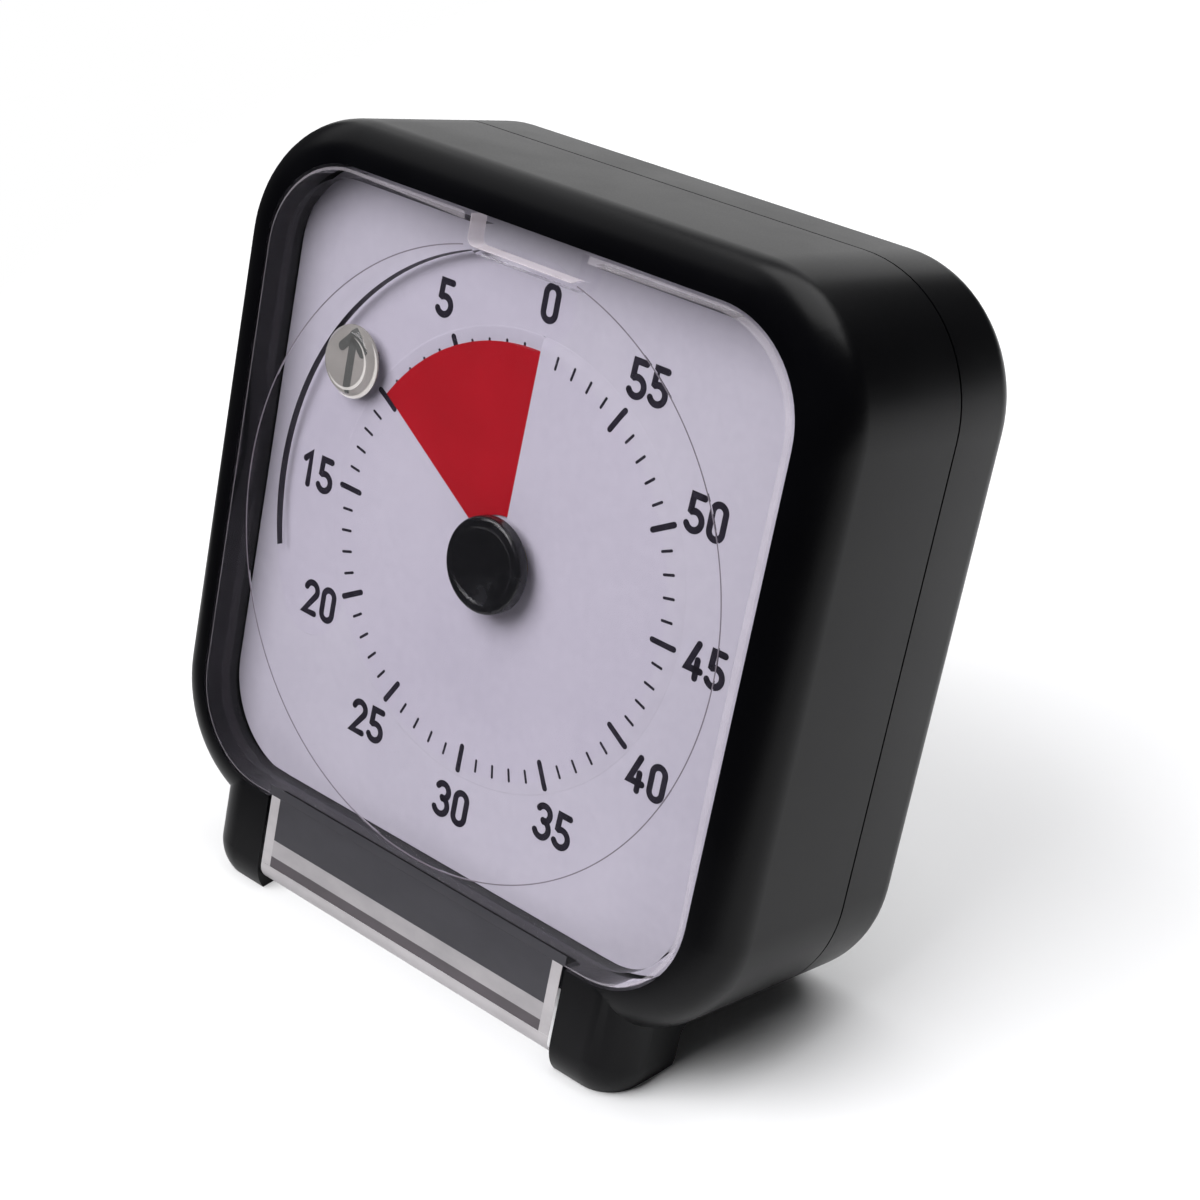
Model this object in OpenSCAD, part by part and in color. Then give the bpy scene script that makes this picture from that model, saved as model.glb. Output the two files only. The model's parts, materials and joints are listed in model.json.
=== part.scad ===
// Pocket visual countdown timer: a square case with a clear flip cover, a pale dial, a red sheet that
// turns out of a slit in the dial as time is set, and a battery movement that turns it back to zero.
// Lengths are in millimetres. The pieces are drawn in the case's own frame, with the centre of the
// dial face at the origin, +X to the right, +Y to the back and +Z up, and then set down leaning back.

/* [Case] */
// Width of the case
body_w = 76.2; // [74:0.2:90]
// Height of the case without its feet
body_h = 74.8; // [72.4:0.2:90]
// Depth of the case
body_d = 28.9; // [28.9:0.1:36]
// Radius of the case's four corners, seen from the front
corner_r = 14; // [12:0.5:16]
// Radius of the rounded front edge
front_round = 4.4; // [3.4:0.1:4.6]
// Radius of the rounded back edge
back_round = 3; // [2.4:0.1:4]
// Wall thickness of both shells
wall = 2; // [1.6:0.1:2.2]
// Depth of the front shell, from its front plane to the parting line
front_d = 18.8; // [17.8:0.1:19.4]
// Width of the fine groove along the parting line
parting_gap = 0.25; // [0.1:0.05:0.4]
// Thickness of the back shell's locating lip
lip_t = 1; // [0.8:0.1:1.4]

/* [Feet and lean] */
// Angle by which the case leans back on its feet
lean = 15.5; // [12:0.5:18]
// Width of one foot
foot_w = 8.45; // [7:0.1:9]
// Depth of the feet from the front plane
foot_d = 9.1; // [8:0.1:9.4]
// How far the foot blocks reach under the case before the floor plane trims them
foot_drop = 8.2; // [8:0.1:10]
// Radius of a foot's outer bottom corner
foot_corner = 4.7; // [4.7:0.1:6]
// Radius of the hollow blend between a foot and the case
foot_blend = 5; // [4:0.5:6]

/* [Dial] */
// Width of the bezel around the dial
bezel_w = 4.65; // [4.6:0.05:5.2]
// Depth of the dial face under the front plane
recess_d = 4.9; // [4.8:0.05:5.4]
// Radius of the recess's corners
recess_r = 10.25; // [9:0.25:11]
// Thickness of the dial plate
dial_t = 1.2; // [1:0.1:1.4]
// Clearance around the dial plate
dial_gap = 0.15; // [0.1:0.05:0.3]
// Width of the ledge that carries the dial plate
ledge_w = 3.4; // [2.5:0.1:4]
// Thickness of the ledge and of the wall around the recess
ledge_t = 1.6; // [1.2:0.1:1.8]
// Radius of the hole in the dial's centre
dial_hole_r = 4.6; // [4.4:0.1:4.8]
// Width of the radial slit at zero
slit_w = 1.3; // [1.2:0.05:1.6]

/* [Red sheet and setting disc] */
// Outer radius of the red sheet
sheet_r = 21.5; // [20:0.1:22]
// Thickness of the red sheet
sheet_t = 0.15; // [0.1:0.01:0.2]
// Minutes that the timer is set to
set_minutes = 10; // [5:1:40]
// Outer radius of the clear setting arm
disc_r = 30.2; // [29:0.1:30.8]
// Width of the setting arm
arm_w = 8.6; // [8:0.1:9]
// Angle that the setting arm reaches over, between the centres of its round ends
arm_sweep = 117; // [90:1:140]
// Thickness of the setting arm
disc_t = 0.8; // [0.6:0.05:1]
// Thickness of the clear disc that carries the arm
web_t = 0.35; // [0.3:0.05:0.5]
// Height of the setting arm over the dial
disc_gap = 0.5; // [0.45:0.05:0.6]
// Distance of the knob from the centre
knob_place = 26.2; // [25:0.1:26.5]
// Radius of the knob at its base
knob_r = 3.7; // [3:0.1:4]
// Height of the knob
knob_h = 1; // [0.8:0.1:1.1]
// Radius of the hub cap
hub_r = 4.9; // [4.7:0.1:6]
// Height of the hub cap
hub_h = 1.3; // [1:0.1:1.8]

/* [Clear cover] */
// Clearance between the cover and the recess
cover_gap = 0.3; // [0.3:0.05:0.4]
// Thickness of the cover's pane
pane_t = 1.2; // [1:0.1:1.3]
// Depth of the cover's rim
rim_d = 3.4; // [3:0.1:3.4]
// Thickness of the cover's rim
rim_t = 1.1; // [0.8:0.1:1.4]
// Radius of the raised round field in the pane
field_r = 30.8; // [28:0.1:32]
// Height of the raised round field
field_h = 0.2; // [0.1:0.05:0.3]
// Width of the finger notch
notch_w = 14; // [10:0.5:20]
// Height of the finger notch
notch_h = 3; // [2:0.1:4]
// Depth of the notch's walls, which the knob passes behind
notch_d = 2.2; // [1.3:0.1:2.2]
// Thickness of the notch's walls
notch_t = 0.9; // [0.6:0.1:0.9]
// Corner radius of the finger notch
notch_r = 0.8; // [0.4:0.1:1.2]
// Width of the hinge tab
tab_w = 41.6; // [36:0.2:42]
// Thickness of the hinge tab
tab_t = 2.2; // [1.8:0.1:2.4]
// Radius of the hinge barrel
barrel_r = 2; // [1.8:0.1:2.2]
// Drop of the hinge axis under the case's bottom
hinge_drop = 3.6; // [3.5:0.1:3.8]
// Radius of the hinge pins
pin_r = 1; // [0.8:0.05:1.1]
// Length of the hinge pins
pin_l = 2.4; // [1.5:0.1:3]

/* [Movement] */
// Gap between the dial plate and the movement plate
movement_gap = 2; // [1.9:0.1:2.2]
// Thickness of the movement's plate and case walls
plate_t = 1.2; // [1:0.1:1.4]
// Space between the movement plate and the screw bosses
plate_side = 1.9; // [1.5:0.1:3]
// Space at each side of the plate for the screws beside the gear case
screw_side = 6.5; // [6:0.1:7.5]
// Height of the gear case
case_h = 34.4; // [34.4:0.2:36]
// Depth of the gear case
case_d = 8.8; // [8.8:0.1:9]
// Radius of the arbor
arbor_r = 1.5; // [1.2:0.1:1.6]
// Running clearance of shafts in their bores
run_gap = 0.05; // [0.03:0.01:0.08]
// Gear module
gear_module = 0.3; // [0.28:0.01:0.3]
// Teeth of the pinions
pinion_teeth = 8; // [8:1:9]
// Teeth of the centre wheel
centre_teeth = 80; // [72:1:80]
// Teeth of the third wheel
third_teeth = 48; // [44:1:48]
// Direction from the centre to the third wheel
third_angle = 125; // [120:1:130]
// Direction from the third wheel to the motor pinion
motor_angle = -5; // [-8:1:0]
// Radius of the stepping motor
motor_r = 6.5; // [5:0.1:6.5]

/* [Electronics] */
// Space between the circuit board and the screw bosses
board_side = 2.8; // [2.7:0.1:4]
// Height of the circuit board
board_h = 30; // [28:0.5:32]
// Thickness of the circuit board
board_t = 1; // [0.8:0.1:1.2]
// Gap between the gear case and the circuit board
board_gap = 2; // [1.8:0.1:2.4]
// Radius of the buzzer
buzzer_r = 6; // [5:0.5:7]
// Height of the buzzer
buzzer_h = 4.6; // [4:0.1:5]
// Travel of the sound switch
switch_travel = 3; // [2:0.1:4]

/* [Battery] */
// Radius of the cell
cell_r = 7.1; // [6.9:0.05:7.1]
// Length of the cell without its nub
cell_l = 49.4; // [48.4:0.1:49.4]
// Free space around the cell in its bay
cell_gap = 0.3; // [0.2:0.05:0.4]
// Thickness of the bay's walls
bay_t = 1.2; // [1:0.1:1.2]
// Thickness of the sheet-metal contacts
contact_t = 0.4; // [0.3:0.05:0.5]
// Wire radius of the contact spring
spring_wire_r = 0.3; // [0.25:0.01:0.35]
// Compressed length of the contact spring
spring_l = 2.6; // [2.2:0.1:3]
// Thickness of the battery door
door_t = 1.2; // [1:0.1:1.4]
// Clearance around the battery door
door_gap = 0.15; // [0.1:0.05:0.2]

/* [Screws] */
// Radius of the case screws' thread
screw_r = 1.05; // [0.9:0.05:1.2]
// Radius of the screw heads
head_r = 2.2; // [2:0.1:2.4]
// Radius of the screw bosses
boss_r = 3; // [2.8:0.1:3.2]

/* [Hidden] */
$fn = 72;
over = 1;                                     // how far a cut runs past the face that it opens
soft_black = "#1b1b1f";
clear = [0.9, 0.92, 0.95, 0.35];

front_y = -recess_d;
back_y = body_d - recess_d;
part_y = front_d - recess_d;
inner_back_y = back_y - wall;
// height of the floor plane in the leaning frame: it touches the rounded back bottom edge
floor_z = -(back_y - back_round) * sin(lean) - (body_h / 2 - back_round) * cos(lean) - back_round;

recess_w = body_w - 2 * bezel_w;
recess_h = recess_w - 0.4;
floor_y = dial_t + ledge_t;                   // back of the ledge behind the dial
cover_w = recess_w - 2 * cover_gap;
cover_h = recess_h - 2 * cover_gap;
cover_r = recess_r - cover_gap;
cover_y = front_y + 0.07;
tab_edge = tab_w / 2;
slot_edge = tab_edge + cover_gap;
hinge_y = cover_y + barrel_r;
hinge_z = -body_h / 2 - hinge_drop;
foot_edge = slot_edge + foot_w;
foot_y = front_y + foot_d;

// blend between a foot and the case corner: its circle touches the foot and just enters the corner
blend_bite = 0.05;
corner_x = body_w / 2 - corner_r;
corner_z = -body_h / 2 + corner_r;
blend_x = foot_edge + foot_blend;
blend_reach = corner_r + foot_blend - blend_bite;
blend_z = corner_z - sqrt(pow(blend_reach, 2) - pow(blend_x - corner_x, 2));
blend_sweep = 180 - atan2(corner_z - blend_z, corner_x - blend_x);

// screw bosses
boss_x = body_w / 2 - back_round - head_r - 0.5;
boss_top_z = body_h / 2 - 10.9;
boss_split_y = part_y - lip_t - 0.1;
screw_seat_y = boss_split_y + 3.6;
pilot_gap = 0.05;
boss_gap = 1.2;                               // between the lower bosses and the battery bay

// sheet, disc, knob and hub stack, from the dial forwards
minute = 6;                                   // degrees
set_angle = set_minutes * minute;
sheet_front_y = -disc_gap + 0.05;
sheet_back_y = dial_t + 0.3;
disc_front_y = -disc_gap - disc_t;
knob_angle = 90 + set_angle - 1.6;
arm_lap = 0.4;                                // of the clear disc under the arm

// battery bay in the lower back of the case
nub_l = 1.1;
bay_w = cell_l + nub_l + spring_l + 2 * contact_t + 0.2;
bay_h = 2 * (cell_r + cell_gap);
cell_y = inner_back_y - cell_r - cell_gap;
cell_z = -body_h / 2 + wall + bay_t + 1.6 + cell_r + cell_gap;
bay_y = cell_y - cell_r - cell_gap;
bay_top_z = cell_z + bay_h / 2 + bay_t;
boss_low_z = bay_top_z + boss_gap + boss_r;

// movement
plate_y = dial_t + movement_gap;
case_y = plate_y + plate_t;
case_back_y = case_y + case_d;
plate_w = 2 * (boss_x - boss_r - plate_side);
case_w = plate_w - 2 * screw_side;
case_mid_z = 3;
peg_x = plate_w / 2 - 2.6;
peg_z = [-9, 15];
peg_r = 2.2;
centre_wheel_y = case_y + 0.6;
centre_wheel_t = 1;
third_pinion_y = case_y + 0.3;
third_wheel_y = centre_wheel_y + centre_wheel_t + 0.8;
third_wheel_t = 0.8;
motor_pinion_y = third_wheel_y - 0.2;
motor_y = third_wheel_y + third_wheel_t + 0.6;
pinion_space = gear_module * (centre_teeth + pinion_teeth) / 2;
motor_space = gear_module * (third_teeth + pinion_teeth) / 2;
third_x = pinion_space * cos(third_angle);
third_z = pinion_space * sin(third_angle);
motor_x = third_x + motor_space * cos(motor_angle);
motor_z = third_z + motor_space * sin(motor_angle);
pin_shaft_r = 0.5;
arbor_tip_r = 0.7;
arbor_seat = 0.7;                             // depth of the arbor's end in the hub cap
bush_r = 2.6;
bush_flange_r = 3.6;
bush_flange_t = 0.8;
movement_corner_r = 3;
peg_hole_r = 1;
contact_pin_x = 3;                            // half the distance between the motor's contact pins
contact_pin_r = 0.4;
washer_r = 2.6;
washer_leg_in = 2;                            // its legs start this far from the middle
washer_leg_l = 3.6;
washer_leg_w = 1.2;
tooth_add = 0.9;                              // heights of a tooth in modules
tooth_ded = 1.2;
wheel_tooth = [0.27, 0.21, 0.08];             // half widths at root, pitch circle and tip, in pitches
pinion_tooth = [0.22, 0.19, 0.08];

// electronics
board_y = case_back_y + board_gap;
board_back_y = board_y + board_t;
board_w = 2 * (boss_x - boss_r - board_side);
board_rise = 2.8;                             // from the battery bay to the board
board_z = bay_top_z + board_rise + board_h / 2;
post_side = 4.6;                              // from the board's ends and long edges to its posts
post_edge = 3;
post_x = board_w / 2 - post_side;
post_z = board_h / 2 - post_edge;
post_pin_r = 0.9;
switch_side = 8;                              // from the left posts to the switch
switch_x = switch_side - post_x;
switch_rise = 8.8;                            // above the board's middle
switch_z = board_z + switch_rise;
switch_l = 8;
switch_h = 6;
window_l = 3.4;
window_h = 3.2;
button_w = 3;
button_sink = 0.4;                            // from the back's face in to the slider's end
button_rib = 0.4;
button_rib_h = 0.3;
button_pitch = 1;
buzzer_side = 10;                             // from the right posts to the buzzer
buzzer_x = post_x - buzzer_side;
buzzer_rise = 6.8;
buzzer_z = board_z + buzzer_rise;
buzzer_port_r = 1.2;
buzzer_port_d = 1.4;
low_row_drop = 9.2;                           // chip, crystal and capacitor, below the board's middle
low_row_z = board_z - low_row_drop;
capacitor_side = 6.5;
capacitor_x = post_x - capacitor_side;
capacitor_r = 2.2;
capacitor_h = 4;
crystal_side = 9.5;                           // from the capacitor to the crystal
crystal_x = capacitor_x - crystal_side;
crystal_l = 6;
crystal_r = 1;
lead_r = 0.8;
lead_l = 0.4;
chip_x = -2;
chip_w = 6;
chip_t = 1.2;
chip_lift = 0.15;
chip_leg = 0.5;                               // width and height of the chip's legs
chip_reach = 0.7;

// battery contacts
cell_x0 = -bay_w / 2 + contact_t + spring_l + 0.1;
contact_x = bay_w / 2 - contact_t;
contact_bend_z = bay_top_z + 0.2;
contact_top_z = board_z - board_h / 2 + 4;
contact_w = 5;
contact_pad_w = 9;
contact_pad_h = 10;
tail_x = board_w / 2 + 0.05;

// battery door: it swings on a round knuckle along its lower edge
knuckle_r = door_t;
knuckle_y = back_y - door_t;
knuckle_z = cell_z - bay_h / 2 - 0.6;
door_w = bay_w;
door_top_z = cell_z + bay_h / 2 + 1.6;
door_pin_r = 0.6;
door_pin_l = 1.4;

// ---- shared shapes -------------------------------------------------------------------------------

// leans the case back and sets it on the floor, with the middle of its outline over the origin
module set_down() {
    far_y = (back_y - back_round) * cos(lean) + (body_h / 2 - back_round) * sin(lean) + back_round;
    toe_z = -body_h / 2 - foot_drop + front_round;
    near_y = (front_y + front_round) * cos(lean) + toe_z * sin(lean) - front_round;
    translate([0, -(far_y + near_y) / 2, -floor_z]) rotate([-lean, 0, 0]) children();
}

module rounded_rect(w, h, r) {
    square([w - 2 * r, h], center = true);
    square([w, h - 2 * r], center = true);
    for (sx = [-1, 1], sz = [-1, 1]) translate([sx * (w / 2 - r), sz * (h / 2 - r)]) circle(r);
}

// extrudes a shape drawn as seen from the front, from depth y0 back to y1
module deep(y0, y1) {
    translate([0, y1, 0]) rotate([90, 0, 0]) linear_extrude(y1 - y0) children();
}

module disc(x, z, r, y0, y1) {
    translate([x, y1, z]) rotate([90, 0, 0]) cylinder(h = y1 - y0, r = r);
}

module quarter(r) intersection() {
    circle(r);
    square(r);
}

// section from an axis outwards, with its far top corner rounded
module edge_section(reach, depth, round_r) {
    square([reach - round_r, depth]);
    square([reach, depth - round_r]);
    translate([reach - round_r, depth - round_r]) quarter(round_r);
}

module bar_section(full, depth, round_r) {
    for (side = [0, 1]) mirror([side, 0]) edge_section(full / 2, depth, round_r);
}

// block with round corners and a rounded edge around its top
module pillow(w, h, corner, depth, round_r) {
    for (sx = [-1, 1], sz = [-1, 1])
        translate([sx * (w / 2 - corner), sz * (h / 2 - corner), 0])
            rotate_extrude() edge_section(corner, depth, round_r);
    rotate([90, 0, 0]) linear_extrude(h - 2 * corner, center = true) bar_section(w, depth, round_r);
    rotate([90, 0, 90]) linear_extrude(w - 2 * corner, center = true) bar_section(h, depth, round_r);
}

module front_pillow(w, h, corner, y_front, y_open, round_r) {
    translate([0, y_open, 0]) rotate([90, 0, 0]) pillow(w, h, corner, y_open - y_front, round_r);
}

module back_pillow(w, h, corner, y_open, y_back, round_r) {
    translate([0, y_open, 0]) rotate([-90, 0, 0]) pillow(w, h, corner, y_back - y_open, round_r);
}

module at_bosses() {
    for (sx = [-1, 1], z = [boss_low_z, boss_top_z]) translate([sx * boss_x, 0, z]) children();
}

module at_pegs() {
    for (sx = [-1, 1], z = peg_z) translate([sx * peg_x, 0, z]) children();
}

module at_posts() {
    for (sx = [-1, 1], sz = [-1, 1]) translate([sx * post_x, 0, board_z + sz * post_z]) children();
}

// toothed outline; tooth gives the half widths of a tooth at its root, pitch circle and tip
module gear_outline(teeth, tooth, turn) {
    pitch = 360 / teeth;
    pitch_r = gear_module * teeth / 2;
    levels = [pitch_r - tooth_ded * gear_module, pitch_r, pitch_r + tooth_add * gear_module];
    flank = [for (side = [-1, 1], k = (side < 0 ? [0, 1, 2] : [2, 1, 0])) [levels[k], side * tooth[k]]];
    polygon([for (i = [0:teeth - 1], p = flank)
        let (a = (i + p[1]) * pitch + turn) p[0] * [cos(a), sin(a)]]);
}

// ---- case ----------------------------------------------------------------------------------------

// one foot, from the slot's side outwards, with the hollow blend up to the case corner
module foot() {
    intersection() {
        translate([slot_edge, 0, -body_h / 2])
            front_pillow(2 * foot_w, 2 * foot_drop, foot_corner, front_y, foot_y, front_round);
        translate([slot_edge, front_y, -body_h]) cube([foot_w, foot_d, body_h]);
    }
    translate([blend_x, foot_y, blend_z]) rotate([90, 0, 0]) rotate([0, 0, 180 - blend_sweep])
        rotate_extrude(angle = blend_sweep) blend_section();
    // small hollow behind the foot
    rear_r = 1.6;
    difference() {
        translate([slot_edge, foot_y - over, -body_h / 2 - rear_r])
            cube([foot_w, rear_r + over, rear_r + over]);
        translate([slot_edge - over, foot_y + rear_r, -body_h / 2 - rear_r])
            rotate([0, 90, 0]) cylinder(h = foot_w + 2 * over, r = rear_r);
    }
}

// section of the blend, with its front edge rounded towards the hollow side
module blend_section() {
    translate([foot_blend + front_round, 0]) square([0.4, foot_d]);
    translate([foot_blend, 0]) square([front_round, foot_d - front_round]);
    translate([foot_blend + front_round, foot_d - front_round]) mirror([1, 0]) quarter(front_round);
}

module below_floor() {
    reach = 2 * body_h;
    rotate([lean, 0, 0]) translate([-reach / 2, -reach / 2, floor_z - reach]) cube(reach);
}

module front_shell() color(soft_black) difference() {
    union() {
        front_pillow(body_w, body_h, corner_r, front_y, part_y, front_round);
        for (side = [0, 1]) mirror([side, 0, 0]) foot();
    }
    difference() {
        front_pillow(body_w - 2 * wall, body_h - 2 * wall, corner_r - wall, front_y + wall,
            part_y + over, front_round - wall);
        deep(front_y, floor_y)
            rounded_rect(recess_w + 2 * ledge_t, recess_h + 2 * ledge_t, recess_r + ledge_t);
        at_bosses() disc(0, 0, boss_r, 0, boss_split_y);
        translate([-slot_edge - wall, front_y, -body_h / 2])
            cube([2 * (slot_edge + wall), tab_t + wall, body_h / 2 - recess_h / 2]);
    }
    deep(front_y - over, dial_t) rounded_rect(recess_w, recess_h, recess_r);
    deep(dial_t - over, floor_y + over)
        rounded_rect(recess_w - 2 * ledge_w, recess_h - 2 * ledge_w, recess_r - ledge_w);
    translate([-slot_edge, front_y - over, -body_h])
        cube([2 * slot_edge, over + cover_y - front_y + tab_t + cover_gap, body_h - cover_h / 2]);
    at_bosses() disc(0, 0, screw_r + pilot_gap, floor_y, boss_split_y + over);
    translate([-slot_edge - pin_l - 0.2, hinge_y, hinge_z]) rotate([0, 90, 0])
        cylinder(h = 2 * (slot_edge + pin_l + 0.2), r = pin_r + run_gap);
    below_floor();
}

module back_shell() color(soft_black) difference() {
    union() {
        difference() {
            back_pillow(body_w, body_h, corner_r, part_y + parting_gap, back_y, back_round);
            back_pillow(body_w - 2 * wall, body_h - 2 * wall, corner_r - wall, part_y, inner_back_y,
                back_round - wall);
        }
        locating_lip();
        battery_bay();
        at_bosses() disc(0, 0, boss_r, boss_split_y, inner_back_y + over);
        at_posts() {
            disc(0, 0, 1.8, board_back_y, inner_back_y + over);
            disc(0, 0, post_pin_r, board_y - 1, inner_back_y);
        }
    }
    battery_opening();
    at_bosses() {
        disc(0, 0, screw_r + 0.3, boss_split_y - over, back_y + over);
        disc(0, 0, head_r + 0.3, screw_seat_y, back_y + over);
    }
    sound_slots();
    switch_window();
}

// ring inside the front shell's open edge
module locating_lip() {
    play = 0.1;
    w = body_w - 2 * (wall + play);
    h = body_h - 2 * (wall + play);
    r = corner_r - wall - play;
    deep(part_y - lip_t, part_y + parting_gap + lip_t) difference() {
        rounded_rect(w, h, r);
        rounded_rect(w - 2 * lip_t, h - 2 * lip_t, r - lip_t);
    }
    // web that carries the lip on the back shell's wall
    deep(part_y + parting_gap, part_y + parting_gap + lip_t) difference() {
        rounded_rect(body_w - wall, body_h - wall, corner_r - wall / 2);
        rounded_rect(w - 2 * lip_t, h - 2 * lip_t, r - lip_t);
    }
}

module battery_bay() {
    difference() {
        translate([-bay_w / 2 - bay_t, bay_y - bay_t, cell_z - bay_h / 2 - bay_t])
            cube([bay_w + 2 * bay_t, inner_back_y - bay_y + bay_t + 0.5, bay_h + 2 * bay_t]);
        translate([-bay_w / 2, bay_y, cell_z - bay_h / 2])
            cube([bay_w, inner_back_y - bay_y + over, bay_h]);
        // passages for the contacts' tails
        for (side = [-1, 1])
            translate([side * (contact_x + contact_t / 2) - 0.4, cell_y - contact_w / 2 - 0.2, cell_z])
                cube([0.8, contact_w + 0.4, bay_h]);
    }
}

// opening, ledge and knuckle groove of the battery door, with the holes for its pins
module battery_opening() {
    side_ledge = 1.4;
    top_ledge = 1.2;
    opening_w = door_w - 2 * side_ledge;
    translate([-opening_w / 2, bay_y + cell_r, cell_z - bay_h / 2])
        cube([opening_w, back_y, bay_h - top_ledge]);
    swing_z = knuckle_z - knuckle_r - door_gap;
    translate([-door_w / 2 - door_gap, knuckle_y, swing_z])
        cube([door_w + 2 * door_gap, door_t + over, door_top_z + door_gap - swing_z]);
    translate([-door_w / 2 - door_gap, knuckle_y, knuckle_z]) rotate([0, 90, 0])
        cylinder(h = door_w + 2 * door_gap, r = knuckle_r + door_gap);
    pin_reach = door_w / 2 + door_gap + door_pin_l;
    translate([-pin_reach, knuckle_y, knuckle_z]) rotate([0, 90, 0])
        cylinder(h = 2 * pin_reach, r = door_pin_r + run_gap);
    // finger recess over the latch
    disc(0, door_top_z, 4, back_y - door_t * 0.7, back_y + over);
}

// sound holes behind the buzzer: slots cut to a round outline
module sound_slots() {
    slot_t = 1;
    slot_step = 2.2;
    deep(inner_back_y - over, back_y + over) intersection() {
        translate([buzzer_x, buzzer_z]) circle(buzzer_r);
        for (k = [-2:2]) translate([buzzer_x, buzzer_z + k * slot_step])
            square([4 * buzzer_r, slot_t], center = true);
    }
}

module switch_window() {
    deep(inner_back_y - over, back_y + over) translate([switch_x, switch_z])
        square([4.4 + switch_travel, 3.4], center = true);
    deep(back_y - 1, back_y + over) translate([switch_x, switch_z])
        rounded_rect(8.4 + switch_travel, 6.4, 1.2);
}

// ---- dial ----------------------------------------------------------------------------------------

module dial_plate() color("#d9d6e2") {
    difference() {
        deep(0, dial_t) rounded_rect(recess_w - 2 * dial_gap, recess_h - 2 * dial_gap, recess_r - dial_gap);
        disc(0, 0, dial_hole_r, -over, dial_t + over);
        translate([-0.2, -over, 0]) cube([slit_w, dial_t + 2 * over, sheet_r + 0.5]);
    }
    at_pegs() difference() {
        disc(0, 0, peg_r, dial_t, plate_y);
        disc(0, 0, 0.75, dial_t, plate_y + over);
    }
}

// ring sector seen from the front, from angle a over sweep degrees, between depths y and y + t
module sector(r0, r1, a, sweep, y, t) {
    translate([0, y + t, 0]) rotate([90, 0, 0]) rotate([0, 0, a])
        rotate_extrude(angle = sweep) translate([r0, 0]) square([r1 - r0, t]);
}

// in front of the dial from zero to the set time, then through the slit and round behind the dial
module red_sheet() color("#b01e2e") {
    sector(dial_hole_r + 0.1, sheet_r, 90, set_angle, sheet_front_y, sheet_t);
    difference() {
        disc(0, 0, dial_hole_r + 0.1, sheet_front_y, sheet_front_y + sheet_t);
        disc(0, 0, arbor_r, sheet_front_y - over, sheet_front_y + over);
    }
    sector(dial_hole_r + 0.1, sheet_r, 94 + set_angle, 354.4 - set_angle, sheet_back_y, sheet_t);
    ramp_w = slit_w - 0.55;
    translate([0, 0, dial_hole_r + 0.1]) linear_extrude(sheet_r - dial_hole_r - 0.1) polygon([
        [0, sheet_front_y], [0.2, sheet_front_y],
        [ramp_w + 0.2, sheet_back_y + sheet_t], [ramp_w, sheet_back_y + sheet_t]]);
}

// part of a ring, with round ends, to both sides of the X axis
module arm_outline() {
    half = arm_sweep / 2;
    reach = 2 * disc_r;
    intersection() {
        difference() {
            circle(disc_r);
            circle(disc_r - arm_w);
        }
        polygon([[0, 0], reach * [cos(half), -sin(half)], [reach, 0], reach * [cos(half), sin(half)]]);
    }
    for (side = [-1, 1]) rotate(side * half) translate([disc_r - arm_w / 2, 0])
        circle(arm_w / 2 - blend_bite);
}

// clear disc over the red sheet, with a thicker arm that reaches over the numerals
module setting_disc() color(clear) difference() {
    union() {
        disc(0, 0, disc_r - arm_w + arm_lap, disc_front_y, disc_front_y + web_t);
        deep(disc_front_y, -disc_gap) rotate(knob_angle) arm_outline();
    }
    disc(0, 0, arbor_r, disc_front_y - over, 0);
}

// domed button: a round base that curves in to a flat top
module setting_knob() color(clear)
    translate([knob_place * cos(knob_angle), disc_front_y, knob_place * sin(knob_angle)])
        rotate([90, 0, 0]) rotate_extrude() {
            square([knob_r, 0.3]);
            translate([0, 0.3]) square([knob_r - knob_h + 0.3, knob_h - 0.3]);
            translate([knob_r - knob_h + 0.3, 0.3]) quarter(knob_h - 0.3);
        }

module hub_cap() color(soft_black) translate([0, disc_front_y, 0]) rotate([90, 0, 0])
    rotate_extrude() difference() {
        edge_section(hub_r, hub_h, 0.3);
        square([arbor_r, arbor_seat]);
    }

module disc_arbor() color("#c9a24a") {
    disc(0, 0, arbor_r, disc_front_y - arbor_seat, centre_wheel_y + centre_wheel_t + 0.6);
    disc(0, 0, arbor_tip_r, centre_wheel_y + centre_wheel_t + 0.6, case_back_y - 0.3);
}

// ---- movement ------------------------------------------------------------------------------------

module movement_plate() color("#3d6f8e") difference() {
    deep(plate_y, plate_y + plate_t) translate([0, case_mid_z])
        rounded_rect(plate_w, case_h, movement_corner_r);
    disc(0, 0, bush_r, plate_y - over, case_y + over);
    disc(third_x, third_z, pin_shaft_r + run_gap, plate_y - over, case_y + over);
    at_pegs() disc(0, 0, peg_hole_r, plate_y - over, case_y + over);
}

// flanged brass bush, pressed in the movement plate, that the arbor turns in
module arbor_bush() color("#d0ac52") difference() {
    union() {
        disc(0, 0, bush_flange_r, plate_y - bush_flange_t, plate_y);
        disc(0, 0, bush_r, plate_y, case_y);
    }
    disc(0, 0, arbor_r + run_gap, 0, case_y + over);
}

module movement_case() color("#e6e4dc") difference() {
    deep(case_y, case_back_y) translate([0, case_mid_z]) rounded_rect(case_w, case_h, movement_corner_r);
    deep(case_y - over, case_back_y - plate_t) translate([0, case_mid_z])
        rounded_rect(case_w - 2 * plate_t, case_h - 2 * plate_t, movement_corner_r - plate_t);
    disc(0, 0, arbor_tip_r + run_gap, case_y, case_back_y + over);
    disc(third_x, third_z, pin_shaft_r + run_gap, case_y, case_back_y + over);
    for (side = [-1, 1])
        disc(motor_x + side * contact_pin_x, motor_z, contact_pin_r + 0.2, case_y, case_back_y + over);
}

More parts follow.
